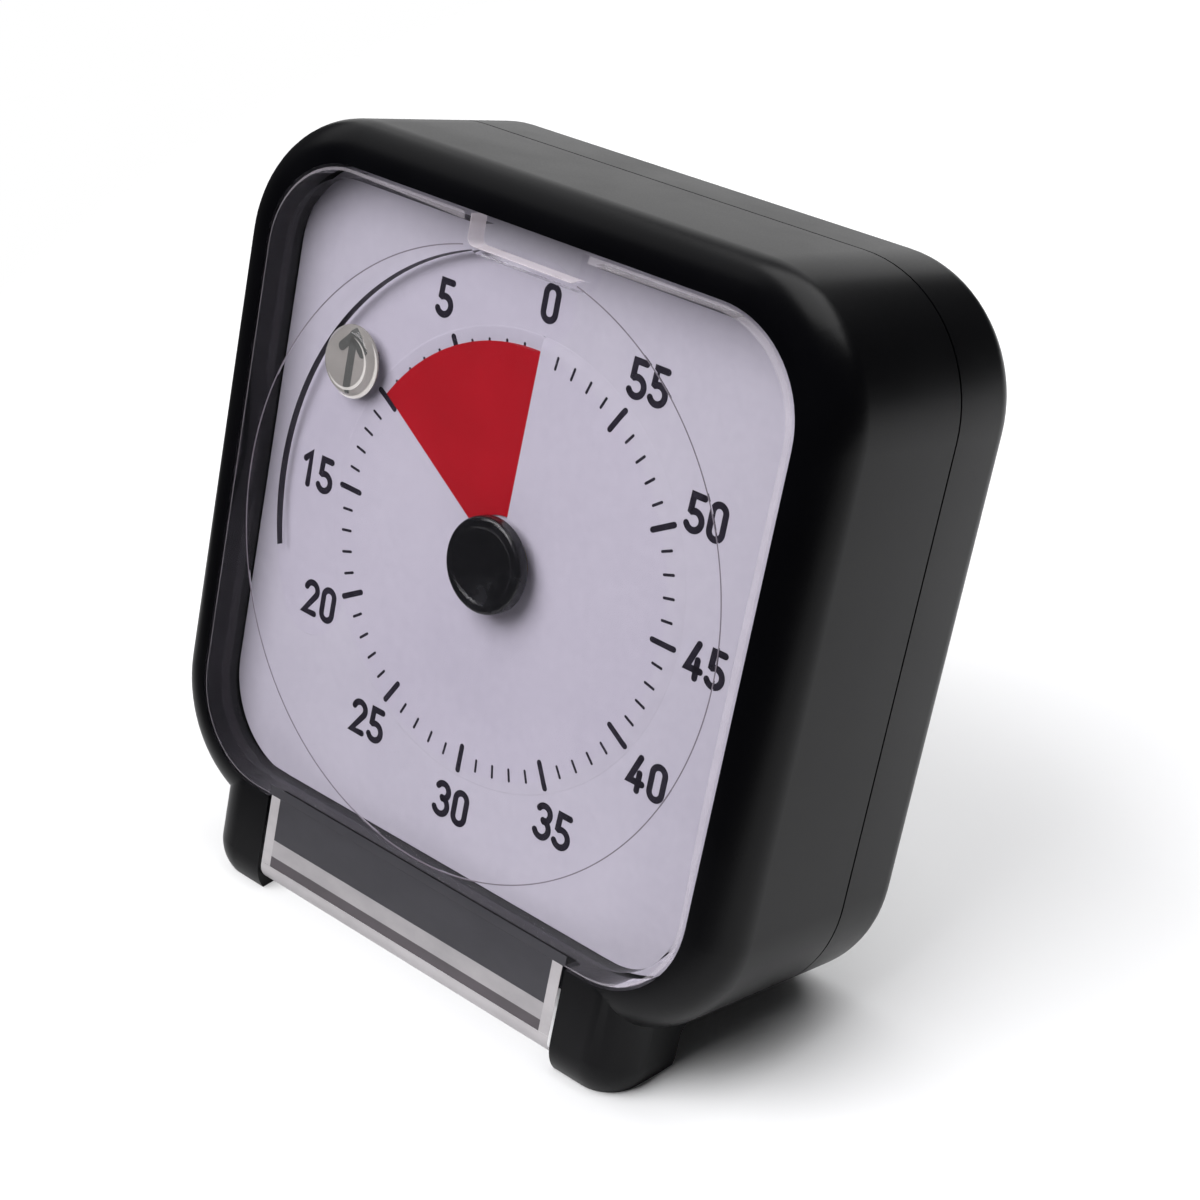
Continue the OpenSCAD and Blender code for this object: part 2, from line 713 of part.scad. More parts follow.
module movement_screws() color("silver") at_pegs() {
    disc(0, 0, 0.7, plate_y - 1.6, case_y);
    difference() {
        disc(0, 0, 1.6, case_y, case_y + 1);
        translate([-0.2, case_y + 0.5, -2]) cube([0.4, 1, 4]);
    }
}

module centre_wheel() color("#d8b55e") difference() {
    union() {
        deep(centre_wheel_y, centre_wheel_y + centre_wheel_t)
            gear_outline(centre_teeth, wheel_tooth, third_angle);
        disc(0, 0, 3, centre_wheel_y, centre_wheel_y + centre_wheel_t + 0.4);
    }
    disc(0, 0, arbor_r, case_y, case_back_y);
    // lightening holes between the spokes
    spokes = 5;
    hole_r = 8 * gear_module;
    for (k = [0:spokes - 1]) rotate([0, -360 / spokes * k, 0])
        disc(22 * gear_module, 0, hole_r, case_y, case_back_y);
}

// three-legged spring washer that presses the wheel's friction clutch together
module clutch_spring() color("silver") deep(case_y + 0.2, case_y + 0.5) difference() {
    union() {
        circle(washer_r);
        for (k = [0:2]) rotate(120 * k) translate([washer_leg_in, -washer_leg_w / 2])
            square([washer_leg_l, washer_leg_w]);
    }
    circle(arbor_r);
}

// wheel and pinion moulded as one; a tooth of the wheel points at the motor's pinion
module third_wheel() color("#f0efe8") translate([third_x, 0, third_z]) difference() {
    union() {
        deep(third_wheel_y, third_wheel_y + third_wheel_t)
            gear_outline(third_teeth, wheel_tooth, motor_angle);
        deep(third_pinion_y, third_wheel_y)
            gear_outline(pinion_teeth, pinion_tooth, third_angle + 180 + 180 / pinion_teeth);
    }
    disc(0, 0, pin_shaft_r, case_y - over, case_back_y);
}

module third_arbor() color("silver") disc(third_x, third_z, pin_shaft_r, plate_y + 0.2, case_back_y - 0.2);

module motor_pinion() color("#c9a24a") translate([motor_x, 0, motor_z]) {
    deep(motor_pinion_y, motor_y - 0.2)
        gear_outline(pinion_teeth, pinion_tooth, motor_angle + 180 + 180 / pinion_teeth);
    disc(0, 0, pin_shaft_r, motor_y - 0.2, motor_y + 1.2);
}

// sealed geared stepping motor with two contact pins that reach the circuit board
module stepper_motor() color("#b9bcc0") translate([motor_x, 0, motor_z]) {
    difference() {
        union() {
            disc(0, 0, motor_r, motor_y, case_back_y - plate_t);
            disc(0, 0, motor_r - 1.6, motor_y - 0.1, motor_y);
        }
        disc(0, 0, pin_shaft_r + run_gap, motor_y - over, motor_y + 1.4);
    }
    for (side = [-1, 1])
        disc(side * contact_pin_x, 0, contact_pin_r, case_back_y - plate_t, board_back_y + 0.4);
}

// ---- electronics ---------------------------------------------------------------------------------

module circuit_board() color("#2f6b3c") difference() {
    deep(board_y, board_back_y) translate([0, board_z]) square([board_w, board_h], center = true);
    at_posts() disc(0, 0, post_pin_r + 0.05, board_y - over, board_back_y + over);
    for (side = [-1, 1])
        disc(motor_x + side * contact_pin_x, motor_z, contact_pin_r + 0.1, board_y - over, board_back_y + over);
}

module control_chip() color("#222222") translate([chip_x, board_back_y, low_row_z + chip_w / 2]) {
    translate([-chip_w / 2, chip_lift, -chip_w / 2]) cube([chip_w, chip_t, chip_w]);
    for (side = [0, 1], k = [-1.5:1.5]) mirror([side, 0, 0])
        translate([chip_w / 2, 0, (chip_w / 4) * k - chip_leg / 2]) cube([chip_reach, chip_leg, chip_leg]);
}

// metal can with the lead-out end towards the chip
module quartz_crystal() color("silver")
    translate([crystal_x, board_back_y + crystal_r, low_row_z + 0.2]) rotate([0, 90, 0]) {
        cylinder(h = crystal_l, r = crystal_r);
        translate([0, 0, -lead_l]) cylinder(h = lead_l, r = lead_r);
    }

module capacitor() color("#20304a")
    disc(capacitor_x, low_row_z + 1.2, capacitor_r, board_back_y, board_back_y + capacitor_h);

module buzzer() color("#26262a") difference() {
    disc(buzzer_x, buzzer_z, buzzer_r, board_back_y, board_back_y + buzzer_h);
    disc(buzzer_x, buzzer_z, buzzer_port_r, board_back_y + buzzer_h - buzzer_port_d,
        board_back_y + buzzer_h + over);
}

// slide switch: a metal frame open to the back, where the slider shows
module switch_body() color("#9a9da2") deep(board_back_y, inner_back_y - 0.2) translate([switch_x, switch_z])
    difference() {
        square([switch_l + switch_travel, switch_h], center = true);
        square([window_l + switch_travel, window_h], center = true);
    }

module switch_slider() color("#303036") {
    x = switch_x - switch_travel / 2;
    front_y = board_back_y + 0.1;
    end_y = back_y - button_sink;
    translate([x - button_w / 2, front_y, switch_z - button_w / 2])
        cube([button_w, end_y - front_y, button_w]);
    // grip ribs across the slider's end
    for (k = [-1:1]) translate([x + button_pitch * k - button_rib / 2, end_y, switch_z - button_w / 2])
        cube([button_rib, button_rib_h, button_w]);
}

// ---- battery -------------------------------------------------------------------------------------

module battery_cell() color("#6e7277") translate([cell_x0, cell_y, cell_z]) rotate([90, 0, 90])
    rotate_extrude() {
        square([cell_r - 1.4, cell_l]);
        translate([0, 0.4]) square([cell_r, cell_l - 1.2]);
        translate([0, cell_l]) square([2.7, nub_l]);
    }

// plate behind the cell's right end, with a tail that bends over to the edge of the circuit board
module contact_strip() translate([0, cell_y, 0]) {
    translate([contact_x, -contact_pad_w / 2, cell_z - contact_pad_h / 2])
        cube([contact_t, contact_pad_w, contact_pad_h]);
    translate([contact_x, -contact_w / 2, cell_z])
        cube([contact_t, contact_w, contact_bend_z + contact_t - cell_z]);
    left_x = min(contact_x, tail_x);
    translate([left_x, -contact_w / 2, contact_bend_z])
        cube([max(contact_x, tail_x) + contact_t - left_x, contact_w, contact_t]);
    translate([tail_x, -contact_w / 2, contact_bend_z])
        cube([contact_t, contact_w, contact_top_z - contact_bend_z]);
}

module battery_contact() color("silver") {
    contact_strip();
    disc_h = bay_w / 2 - contact_t - (cell_x0 + cell_l + nub_l);
    translate([contact_x - disc_h, cell_y, cell_z]) rotate([0, 90, 0]) cylinder(h = disc_h, r = 1.6);
}

// points on a ring of the spring's wire at turn u, which narrows from coil_r0 to coil_r1
function spring_ring(u, sides, turns, coil_r0, coil_r1, length) = [for (k = [0:sides - 1])
    let (a = 360 * u * turns, b = 360 * k / sides,
        r = coil_r0 + (coil_r1 - coil_r0) * u + spring_wire_r * cos(b))
    [length * u + spring_wire_r * sin(b), r * cos(a), r * sin(a)]];

module wire_spring(turns, coil_r0, coil_r1, length) {
    sides = 8;
    rings = 24 * turns;
    points = [for (i = [0:rings]) each spring_ring(i / rings, sides, turns, coil_r0, coil_r1, length)];
    walls = [for (i = [0:rings - 1], k = [0:sides - 1])
        let (a = i * sides + k, b = i * sides + (k + 1) % sides) [a, b, b + sides, a + sides]];
    start = [for (k = [sides - 1:-1:0]) k];
    end = [for (k = [0:sides - 1]) rings * sides + k];
    polyhedron(points, concat([start], walls, [end]));
}

module battery_spring() color("silver") {
    mirror([1, 0, 0]) contact_strip();
    translate([-contact_x + spring_wire_r - 0.02, cell_y, cell_z])
        wire_spring(3, 4, 2.6, spring_l - 2 * spring_wire_r);
}

module battery_door() color(soft_black) {
    difference() {
        union() {
            translate([-door_w / 2, knuckle_y + 0.02, knuckle_z])
                cube([door_w, door_t - 0.02, door_top_z - knuckle_z]);
            translate([-door_w / 2, knuckle_y, knuckle_z]) rotate([0, 90, 0])
                cylinder(h = door_w, r = knuckle_r);
        }
        // finger scoop at the latch
        disc(0, door_top_z, 4, back_y - door_t * 0.5, back_y + over);
        for (k = [0:4]) translate([0, back_y + 0.35, knuckle_z + 4 + 1.6 * k]) rotate([0, 90, 0])
            cylinder(h = 12, r = 0.6, center = true);
    }
    reach = door_w / 2 + door_gap + door_pin_l - 0.2;
    translate([-reach, knuckle_y, knuckle_z]) rotate([0, 90, 0]) cylinder(h = 2 * reach, r = door_pin_r);
}

// ---- screws and cover ----------------------------------------------------------------------------

module housing_screws() color("silver") at_bosses() {
    disc(0, 0, screw_r, floor_y + 2, screw_seat_y);
    difference() {
        disc(0, 0, head_r, screw_seat_y, screw_seat_y + 1.5);
        for (turn = [0, 90]) rotate([0, turn, 0]) translate([-1.3, screw_seat_y + 0.8, -0.25])
            cube([2.6, over, 0.5]);
    }
}

module cover_outline(inset) rounded_rect(cover_w - 2 * inset, cover_h - 2 * inset, cover_r - inset);

module notch_outline(grow) translate([0, cover_h / 2])
    rounded_rect(notch_w + 2 * grow, 2 * (notch_h + grow), notch_r + grow);

module clear_cover() color(clear) {
    difference() {
        union() {
            deep(cover_y, cover_y + pane_t) cover_outline(0);
            deep(cover_y, cover_y + rim_d) difference() {
                cover_outline(0);
                cover_outline(rim_t);
            }
            deep(cover_y, cover_y + notch_d) intersection() {
                notch_outline(notch_t);
                cover_outline(0);
            }
            disc(0, 0, field_r, cover_y - field_h, cover_y);
        }
        deep(cover_y - over, cover_y + rim_d + over) notch_outline(0);
    }
    translate([-tab_edge, cover_y, hinge_z]) cube([tab_w, tab_t, -cover_h / 2 + rim_t - hinge_z]);
    translate([-tab_edge, hinge_y, hinge_z]) rotate([0, 90, 0]) cylinder(h = tab_w, r = barrel_r);
    translate([-tab_edge - pin_l, hinge_y, hinge_z]) rotate([0, 90, 0])
        cylinder(h = tab_w + 2 * pin_l, r = pin_r);
}

set_down() front_shell();
set_down() back_shell();
set_down() dial_plate();
set_down() red_sheet();
set_down() setting_disc();
set_down() setting_knob();
set_down() hub_cap();
set_down() disc_arbor();
set_down() arbor_bush();
set_down() centre_wheel();
set_down() clutch_spring();
set_down() third_wheel();
set_down() third_arbor();
set_down() motor_pinion();
set_down() stepper_motor();
set_down() movement_plate();
set_down() movement_case();
set_down() movement_screws();
set_down() circuit_board();
set_down() control_chip();
set_down() quartz_crystal();
set_down() capacitor();
set_down() buzzer();
set_down() switch_body();
set_down() switch_slider();
set_down() battery_cell();
set_down() battery_spring();
set_down() battery_contact();
set_down() battery_door();
set_down() housing_screws();
set_down() clear_cover();
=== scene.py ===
import json
import math
import bmesh
import bpy
import numpy as np
from mathutils import Matrix


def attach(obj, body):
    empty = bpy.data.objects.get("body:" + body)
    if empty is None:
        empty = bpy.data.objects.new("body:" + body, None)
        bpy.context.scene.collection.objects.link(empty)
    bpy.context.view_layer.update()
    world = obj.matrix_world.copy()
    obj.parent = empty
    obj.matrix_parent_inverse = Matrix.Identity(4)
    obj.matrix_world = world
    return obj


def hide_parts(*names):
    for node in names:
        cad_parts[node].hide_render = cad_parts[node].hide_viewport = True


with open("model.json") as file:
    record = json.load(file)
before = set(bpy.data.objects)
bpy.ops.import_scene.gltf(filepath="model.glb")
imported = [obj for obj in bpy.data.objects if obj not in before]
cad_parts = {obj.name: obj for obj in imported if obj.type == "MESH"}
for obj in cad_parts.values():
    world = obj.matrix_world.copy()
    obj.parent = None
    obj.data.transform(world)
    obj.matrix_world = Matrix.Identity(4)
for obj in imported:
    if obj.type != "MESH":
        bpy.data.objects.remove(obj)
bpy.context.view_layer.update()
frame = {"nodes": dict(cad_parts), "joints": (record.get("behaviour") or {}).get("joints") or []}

# the case's own frame: x right, y back, z up, in millimetres from the centre of the dial
discTurn = next(joint for joint in frame["joints"] if joint["name"] == "disc_turn")
dialCentre = np.array(discTurn["pos_m"])
rightward = np.array([1.0, 0.0, 0.0])
backward = -np.array(discTurn["axis"])
upward = np.cross(rightward, backward)
caseAxes = np.stack((rightward, backward, upward))


def place(points):
    # case millimetres to metres in the frame: centre + x * right + y * back + z * up
    return dialCentre + np.asarray(points, float) @ caseAxes / 1000


def polar(r, turn, y):
    # a point r out from the centre and turn degrees to the left of the top: (-r sin t, y, r cos t)
    angle = np.radians(turn)
    return np.stack(np.broadcast_arrays(-r * np.sin(angle), y, r * np.cos(angle)), -1)


# how meshes are finished: welds in millimetres, angles in degrees
making = {
    "weld": 0.0002, "sharp": 35,
    "shellWeld": 0.002, "shellFlat": 0.4, "shellSharp": 30, "shellSegments": 3,
    "frontSoft": 0.25, "backSoft": 0.15, "doorSoft": 0.12, "coverSoft": 0.25,
}


def gridFaces(rows, columns, closeRows=False, closeColumns=False):
    # the quads between neighbouring rows and columns of points stored row by row
    r = np.arange(rows if closeRows else rows - 1)[:, None]
    c = np.arange(columns if closeColumns else columns - 1)[None, :]
    nextRow, nextColumn = (r + 1) % rows, (c + 1) % columns
    corners = (r * columns + c, r * columns + nextColumn,
               nextRow * columns + nextColumn, nextRow * columns + c)
    return np.stack(np.broadcast_arrays(*corners), -1).reshape(-1, 4).tolist()


def band(sections, closeRows=False):
    # a closed tube through sections[i, j]: row i is one closed section, its ends are capped unless closed
    rows, columns = sections.shape[:2]
    faces = gridFaces(rows, columns, closeRows, True)
    if not closeRows:
        last = (rows - 1) * columns
        faces += [list(range(columns)), list(range(last + columns - 1, last - 1, -1))]
    return sections.reshape(-1, 3), faces


def strip(edges):
    # a closed strip whose long edges are the given lines of points, in order round its section
    return band(np.stack(edges, 1).reshape(len(edges[0]), len(edges), 3))


def ringStrip(turn, outer, inner, front, back):
    # a flat strip round the dial's centre, from radius inner to outer and from depth front to back
    section = (outer, front), (inner, front), (inner, back), (outer, back)
    return strip([polar(r, turn, y) for r, y in section])


def lathe(profile, centre=(0, 0), steps=96, ring=False):
    # profile (r, y) turned about the line x, z = centre: (cx + r cos a, y, cz + r sin a);
    # the profile of a ring is closed
    profile = np.asarray(profile, float)
    angle = np.linspace(0, 2 * math.pi, steps, endpoint=False)[:, None]
    r, y = profile[:, 0], profile[:, 1]
    points = np.stack(np.broadcast_arrays(
        centre[0] + r * np.cos(angle), y, centre[1] + r * np.sin(angle)), -1)
    return points.reshape(-1, 3), gridFaces(steps, len(profile), True, ring)


def rounded(corners, radii, steps=6):
    # a path through corners whose bends are arcs: each is a circle of its radius that touches both sides
    corners = np.asarray(corners, float)
    path = [corners[:1]]
    for before, here, after, radius in zip(corners, corners[1:], corners[2:], radii):
        a, b = before - here, after - here
        a, b = a / np.hypot(*a), b / np.hypot(*b)
        half = math.acos(np.clip(a @ b, -1, 1)) / 2
        middle = here + (a + b) / np.hypot(*(a + b)) * radius / math.sin(half)
        start = here + a * radius / math.tan(half) - middle
        end = here + b * radius / math.tan(half) - middle
        t = np.linspace(0, 1, steps + 1)[:, None]
        chord = start * (1 - t) + end * t
        path.append(middle + chord / np.hypot(chord[:, :1], chord[:, 1:]) * radius)
    return np.concatenate(path + [corners[-1:]])


def arc(x, z, r, start, end, steps=18):
    # part of a circle about (x, z), in degrees: (x + r cos a, z + r sin a)
    a = np.radians(np.linspace(start, end, steps))
    return np.stack((x + r * np.cos(a), z + r * np.sin(a)), -1)


def ribbon(path, closed, width, front, back):
    # a flat stroke between two depths: path +- width / 2 along its bisecting normal,
    # its open ends finished by round plates
    before = np.roll(path, 1, 0) if closed else np.concatenate((2 * path[:1] - path[1:2], path[:-1]))
    after = np.roll(path, -1, 0) if closed else np.concatenate((path[1:], 2 * path[-1:] - path[-2:-1]))
    a, b = path - before, after - path
    a, b = a / np.hypot(a[:, :1], a[:, 1:]), b / np.hypot(b[:, :1], b[:, 1:])
    tangent = a + b
    tangent = tangent / np.hypot(tangent[:, :1], tangent[:, 1:])
    normal = np.stack((-tangent[:, 1], tangent[:, 0]), -1)
    spread = 1 / np.maximum(np.abs((tangent * b).sum(1, keepdims=True)), 0.55)
    left, right = path + normal * spread * width / 2, path - normal * spread * width / 2
    depth = lambda p, y: np.stack((p[:, 0], np.full(len(p), y), p[:, 1]), -1)
    section = np.stack((depth(left, front), depth(right, front), depth(right, back), depth(left, back)), 1)
    parts = [band(section, closed)]
    if not closed:
        for end in (path[0], path[-1]):
            ring = arc(end[0], end[1], width / 2, 0, 360, 21)[:-1]
            parts.append(band(np.stack((depth(ring, front), depth(ring, back)), 0)))
    return parts


def plate(left, right, top, bottom, front, back):
    # a thin box between two depths
    corners = [(left, top), (right, top), (right, bottom), (left, bottom)]
    return band(np.array([[(x, y, z) for x, z in corners] for y in (front, back)], float))


def squareReach(angle, halfWidth, halfHeight, radius):
    # distance from the centre to a rounded rectangle along each angle,
    # the nearer of its sides and of its corner arcs
    c, s = np.abs(np.cos(angle)), np.abs(np.sin(angle))
    side = np.minimum(halfWidth / np.maximum(c, 1e-9), halfHeight / np.maximum(s, 1e-9))
    cx, cz = halfWidth - radius, halfHeight - radius
    along = c * cx + s * cz
    corner = along + np.sqrt(np.maximum(along ** 2 - cx ** 2 - cz ** 2 + radius ** 2, 0))
    inCorner = (side * c > cx) & (side * s > cz)
    return np.where(inCorner, corner, side)


def smoothObject(name, mesh, sharp):
    # smooth shading, with crisp edges where faces meet at more than the sharp angle
    mesh.polygons.foreach_set("use_smooth", np.ones(len(mesh.polygons), bool))
    mesh.set_sharp_from_angle(angle=math.radians(sharp))
    piece = bpy.data.objects.new(name, mesh)
    bpy.context.scene.collection.objects.link(piece)
    return piece


def setUp(piece, body, finish, stands):
    # its material, the CAD nodes that it stands for and its body
    piece.data.materials.clear()
    piece.data.materials.append(finish)
    if stands:
        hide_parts(*stands)
    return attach(piece, body)


def addPiece(name, parts, body, finish, stands=()):
    # parts are (points in case millimetres, faces); they become one object on a body
    points = np.concatenate([np.asarray(p, float) for p, _ in parts])
    starts = np.cumsum([0] + [len(p) for p, _ in parts[:-1]])
    faces = [[int(start) + index for index in face] for start, (_, fs) in zip(starts, parts) for face in fs]
    mesh = bpy.data.meshes.new(name)
    mesh.from_pydata(place(points).tolist(), [], faces)
    bm = bmesh.new()
    bm.from_mesh(mesh)
    bmesh.ops.remove_doubles(bm, verts=bm.verts, dist=making["weld"] / 1000)
    bmesh.ops.recalc_face_normals(bm, faces=bm.faces)
    bm.to_mesh(mesh)
    bm.free()
    return setUp(smoothObject(name, mesh, making["sharp"]), body, finish, stands)


def softenedCopy(node, name, body, finish, width):
    # a merged copy of a CAD node whose crisp edges get a small moulded radius
    mesh = frame["nodes"][node].data.copy()
    mesh.name = name
    bm = bmesh.new()
    bm.from_mesh(mesh)
    bmesh.ops.remove_doubles(bm, verts=bm.verts, dist=making["shellWeld"] / 1000)
    flat = math.radians(making["shellFlat"])
    bmesh.ops.dissolve_limit(bm, angle_limit=flat, verts=bm.verts, edges=bm.edges)
    bm.to_mesh(mesh)
    bm.free()
    piece = smoothObject(name, mesh, making["shellSharp"])
    bevel = piece.modifiers.new("edge", "BEVEL")
    bevel.width = width / 1000
    bevel.segments = making["shellSegments"]
    bevel.limit_method = "ANGLE"
    bevel.angle_limit = math.radians(making["shellSharp"])
    return setUp(piece, body, finish, (node,))


class Wire:
    # one socket of a material; + - * with numbers or other wires add Math nodes
    def __init__(self, finish, socket):
        self.finish, self.socket = finish, socket

    def combine(self, operation, first, second):
        return self.finish.node("ShaderNodeMath", {"operation": operation}, {0: first, 1: second})

    def __add__(self, other):
        return self.combine("ADD", self, other)

    def __radd__(self, other):
        return self.combine("ADD", other, self)

    def __sub__(self, other):
        return self.combine("SUBTRACT", self, other)

    def __rsub__(self, other):
        return self.combine("SUBTRACT", other, self)

    def __mul__(self, other):
        return self.combine("MULTIPLY", self, other)

    def __rmul__(self, other):
        return self.combine("MULTIPLY", other, self)


class Finish:
    # one material: constants go straight on the shader, patterns come in through feed()
    def __init__(self, name, **constants):
        self.material = bpy.data.materials.new(name)
        self.material.use_nodes = True
        self.tree = self.material.node_tree
        self.shader = self.tree.nodes["Principled BSDF"]
        for key, value in constants.items():
            self.shader.inputs[key.replace("_", " ")].default_value = value

    def node(self, kind, settings, values, out=0):
        made = self.tree.nodes.new(kind)
        for key, value in settings.items():
            setattr(made, key, value)
        for key, value in values.items():
            if isinstance(value, Wire):
                self.tree.links.new(value.socket, made.inputs[key])
            else:
                made.inputs[key].default_value = value
        return Wire(self, made.outputs[out])

    def coordinates(self):
        return self.node("ShaderNodeTexCoord", {}, {}, "Object")

    def noise(self, scale, detail=3.0, roughness=0.55, stretch=(1, 1, 1)):
        where = self.node("ShaderNodeMapping", {}, {"Vector": self.coordinates(), "Scale": stretch})
        return self.node("ShaderNodeTexNoise", {}, {
            "Vector": where, "Scale": scale, "Detail": detail, "Roughness": roughness}, "Fac")

    def grains(self, scale, feature="F1"):
        return self.node("ShaderNodeTexVoronoi", {"feature": feature}, {
            "Vector": self.coordinates(), "Scale": scale}, "Distance")

    def blend(self, factor, low, high):
        # from one colour to another; each is screen values or a wire
        low, high = (c if isinstance(c, Wire) else shade(*c) for c in (low, high))
        return self.node("ShaderNodeMix", {"data_type": "RGBA"}, {0: factor, 6: low, 7: high}, 2)

    def span(self, wire, low, high):
        # stretches low..high of a wire to 0..1, clamped
        return self.node("ShaderNodeMapRange", {}, {"Value": wire, "From Min": low, "From Max": high})

    def feed(self, socket, wire):
        self.tree.links.new(wire.socket, self.shader.inputs[socket])

    def bump(self, height, distance):
        values = {"Height": height, "Distance": distance, "Strength": 1.0}
        self.feed("Normal", self.node("ShaderNodeBump", {}, values))


def shade(red, green, blue):
    # a colour picked as seen on a screen, 0 to 255, as the linear values that shaders use
    c = np.array([red, green, blue]) / 255
    return (*np.where(c < 0.04045, c / 12.92, ((c + 0.055) / 1.055) ** 2.4).tolist(), 1.0)


def deeper(colour, share):
    return tuple(int(c * share) for c in colour)


# screen colours of every plastic, print and metal, and of the painted highlights and painted shade on the
# clear pieces
colours = {
    "case": (4, 4, 6), "caseDust": (12, 12, 15),
    "dial": (196, 191, 205), "dialCloud": (186, 181, 196),
    "sheet": (166, 18, 32), "sheetCloud": (152, 13, 26), "sheetSpeck": (200, 80, 88),
    "ink": (26, 23, 33), "inkWorn": (52, 46, 60),
    "clear": (254, 253, 255), "button": (244, 240, 234),
    "hub": (14, 14, 17), "chip": (30, 30, 33), "scuff": (48, 48, 52),
    # the arm's edge line, the button's gleams, and the cover's line, notch, field line and tab colours below
    # are painted shade and painted highlights
    "armShadeLine": (34, 30, 42), "arrow": (58, 62, 64), "label": (150, 147, 147), "gleam": (244, 240, 236),
    "coverLine": (232, 224, 234), "notch": (236, 226, 234), "fieldLine": (128, 120, 132),
    "tabFrame": (190, 186, 189), "tabHighlightBand": (172, 168, 171),
    "tabShadePlate": (66, 65, 70), "tabShadeBand": (88, 82, 87),
    "movementPlate": (61, 111, 142), "movementCase": (226, 223, 212), "gear": (238, 237, 230),
    "brass": (216, 181, 94), "steel": (190, 192, 196), "springSteel": (170, 172, 178),
    "board": (30, 84, 48), "boardTrack": (88, 132, 74), "sleeve": (60, 63, 68), "sleeveBand": (168, 112, 52),
}
skins = {
    "caseRoughness": 0.25, "caseGloss": 0.16, "caseGrain": 5200.0, "caseGrainDepth": 0.000004,
    "clearRoughness": 0.015, "clearIndex": 1.03, "coverCoat": 0.4, "discCoat": 0.05,
    "buttonIndex": 1.35, "buttonThrough": 0.93,
    "hubRoughness": 0.22, "chipRoughness": 0.4, "sleeveBandStart": 0.012, "sleeveBandFull": 0.0122,
}


def mouldedBlack():
    # fine spark-eroded texture: small pits over the whole surface, a little dust in the broad noise
    finish = Finish("caseBlack", Specular_IOR_Level=skins["caseGloss"])
    broad = finish.span(finish.noise(60.0), 0.45, 0.8)
    finish.feed("Base Color", finish.blend(broad * 0.5, colours["case"], colours["caseDust"]))
    pits = finish.noise(skins["caseGrain"], 2.0, 0.6)
    finish.feed("Roughness", broad * 0.06 + pits * 0.1 + skins["caseRoughness"])
    finish.bump(pits, skins["caseGrainDepth"])
    return finish.material


def clearPlastic(name, coat):
    # polished clear plastic with faint handling smears that only touch its roughness
    finish = Finish(name, Base_Color=shade(*colours["clear"]), IOR=skins["clearIndex"],
                    Transmission_Weight=1.0, Coat_Weight=coat, Coat_Roughness=0.03)
    smears = finish.span(finish.noise(95.0, 4.0, 0.6, (1, 1, 2.4)), 0.5, 0.85)
    finish.feed("Roughness", smears * 0.03 + skins["clearRoughness"])
    finish.bump(finish.noise(40.0, 1.0), 0.00001)
    return finish.material


def milkyButton():
    # clear plastic in a solid button, a little milky
    finish = Finish("buttonClear", Base_Color=shade(*colours["button"]), IOR=skins["buttonIndex"],
                    Transmission_Weight=skins["buttonThrough"])
    smears = finish.span(finish.noise(240.0), 0.45, 0.8)
    finish.feed("Roughness", smears * 0.04 + 0.03)
    return finish.material


def frosted(name, colour, alpha, glow=0.0):
    # thin film, cloudy in colour and in roughness, for the button's label and for painted highlights and
    # painted shade on the clear pieces; glow is painted light, an emission standing for light led through the
    # plastic to its edge
    finish = Finish(name, Alpha=alpha, Specular_IOR_Level=0.3, Emission_Color=shade(*colour),
                    Emission_Strength=glow)
    cloud = finish.noise(160.0, 4.0, 0.6, (1, 1, 2))
    finish.feed("Base Color", finish.blend(finish.span(cloud, 0.35, 0.65), deeper(colour, 0.93), colour))
    finish.feed("Roughness", cloud * 0.2 + 0.25)
    finish.bump(cloud, 0.000004)
    return finish.material


def paleCard():
    finish = Finish("paleDial", Specular_IOR_Level=0.3)
    fibres = finish.noise(900.0, 4.0, 0.65)
    cloud = finish.span(finish.noise(45.0) * 0.6 + fibres * 0.4, 0.35, 0.65)
    finish.feed("Base Color", finish.blend(cloud, colours["dialCloud"], colours["dial"]))
    finish.feed("Roughness", fibres * 0.12 + 0.5)
    finish.bump(fibres, 0.0000012)
    return finish.material


def redFilm():
    finish = Finish("redSheet", Specular_IOR_Level=0.3)
    cloud = finish.noise(70.0, 4.0)
    specks = 1 - finish.span(finish.grains(420.0), 0.0, 0.09)
    colour = finish.blend(finish.span(cloud, 0.35, 0.65), colours["sheetCloud"], colours["sheet"])
    finish.feed("Base Color", finish.blend(specks * 0.16, colour, colours["sheetSpeck"]))
    finish.feed("Roughness", cloud * 0.1 + 0.45)
    finish.bump(finish.noise(1200.0), 0.000004)
    return finish.material


def printedInk():
    finish = Finish("dialInk", Specular_IOR_Level=0.3)
    worn = finish.span(finish.noise(1500.0), 0.3, 0.8)
    finish.feed("Base Color", finish.blend(worn * 0.3, colours["ink"], colours["inkWorn"]))
    finish.feed("Roughness", worn * 0.1 + 0.45)
    return finish.material


def glossyBlack(name, colour, roughness):
    # smooth dark plastic that is scuffed here and there
    finish = Finish(name)
    wear = finish.span(finish.noise(300.0, 4.0), 0.5, 0.75)
    finish.feed("Base Color", finish.blend(wear * 0.4, colour, colours["scuff"]))
    finish.feed("Roughness", wear * 0.12 + roughness)
    finish.bump(finish.noise(2500.0), 0.000004)
    return finish.material


def turnedMetal(name, colour, roughness, streak=(1, 1, 1)):
    # drawn or turned metal: fine lines vary its roughness, cloudy tarnish its colour
    finish = Finish(name, Metallic=1.0)
    lines = finish.noise(2400.0, 3.0, 0.6, streak)
    tarnish = finish.span(finish.noise(240.0, 4.0), 0.45, 0.8)
    finish.feed("Base Color", finish.blend(tarnish * 0.6, colour, deeper(colour, 0.72)))
    finish.feed("Roughness", lines * 0.18 + roughness)
    finish.bump(lines, 0.000005)
    return finish.material


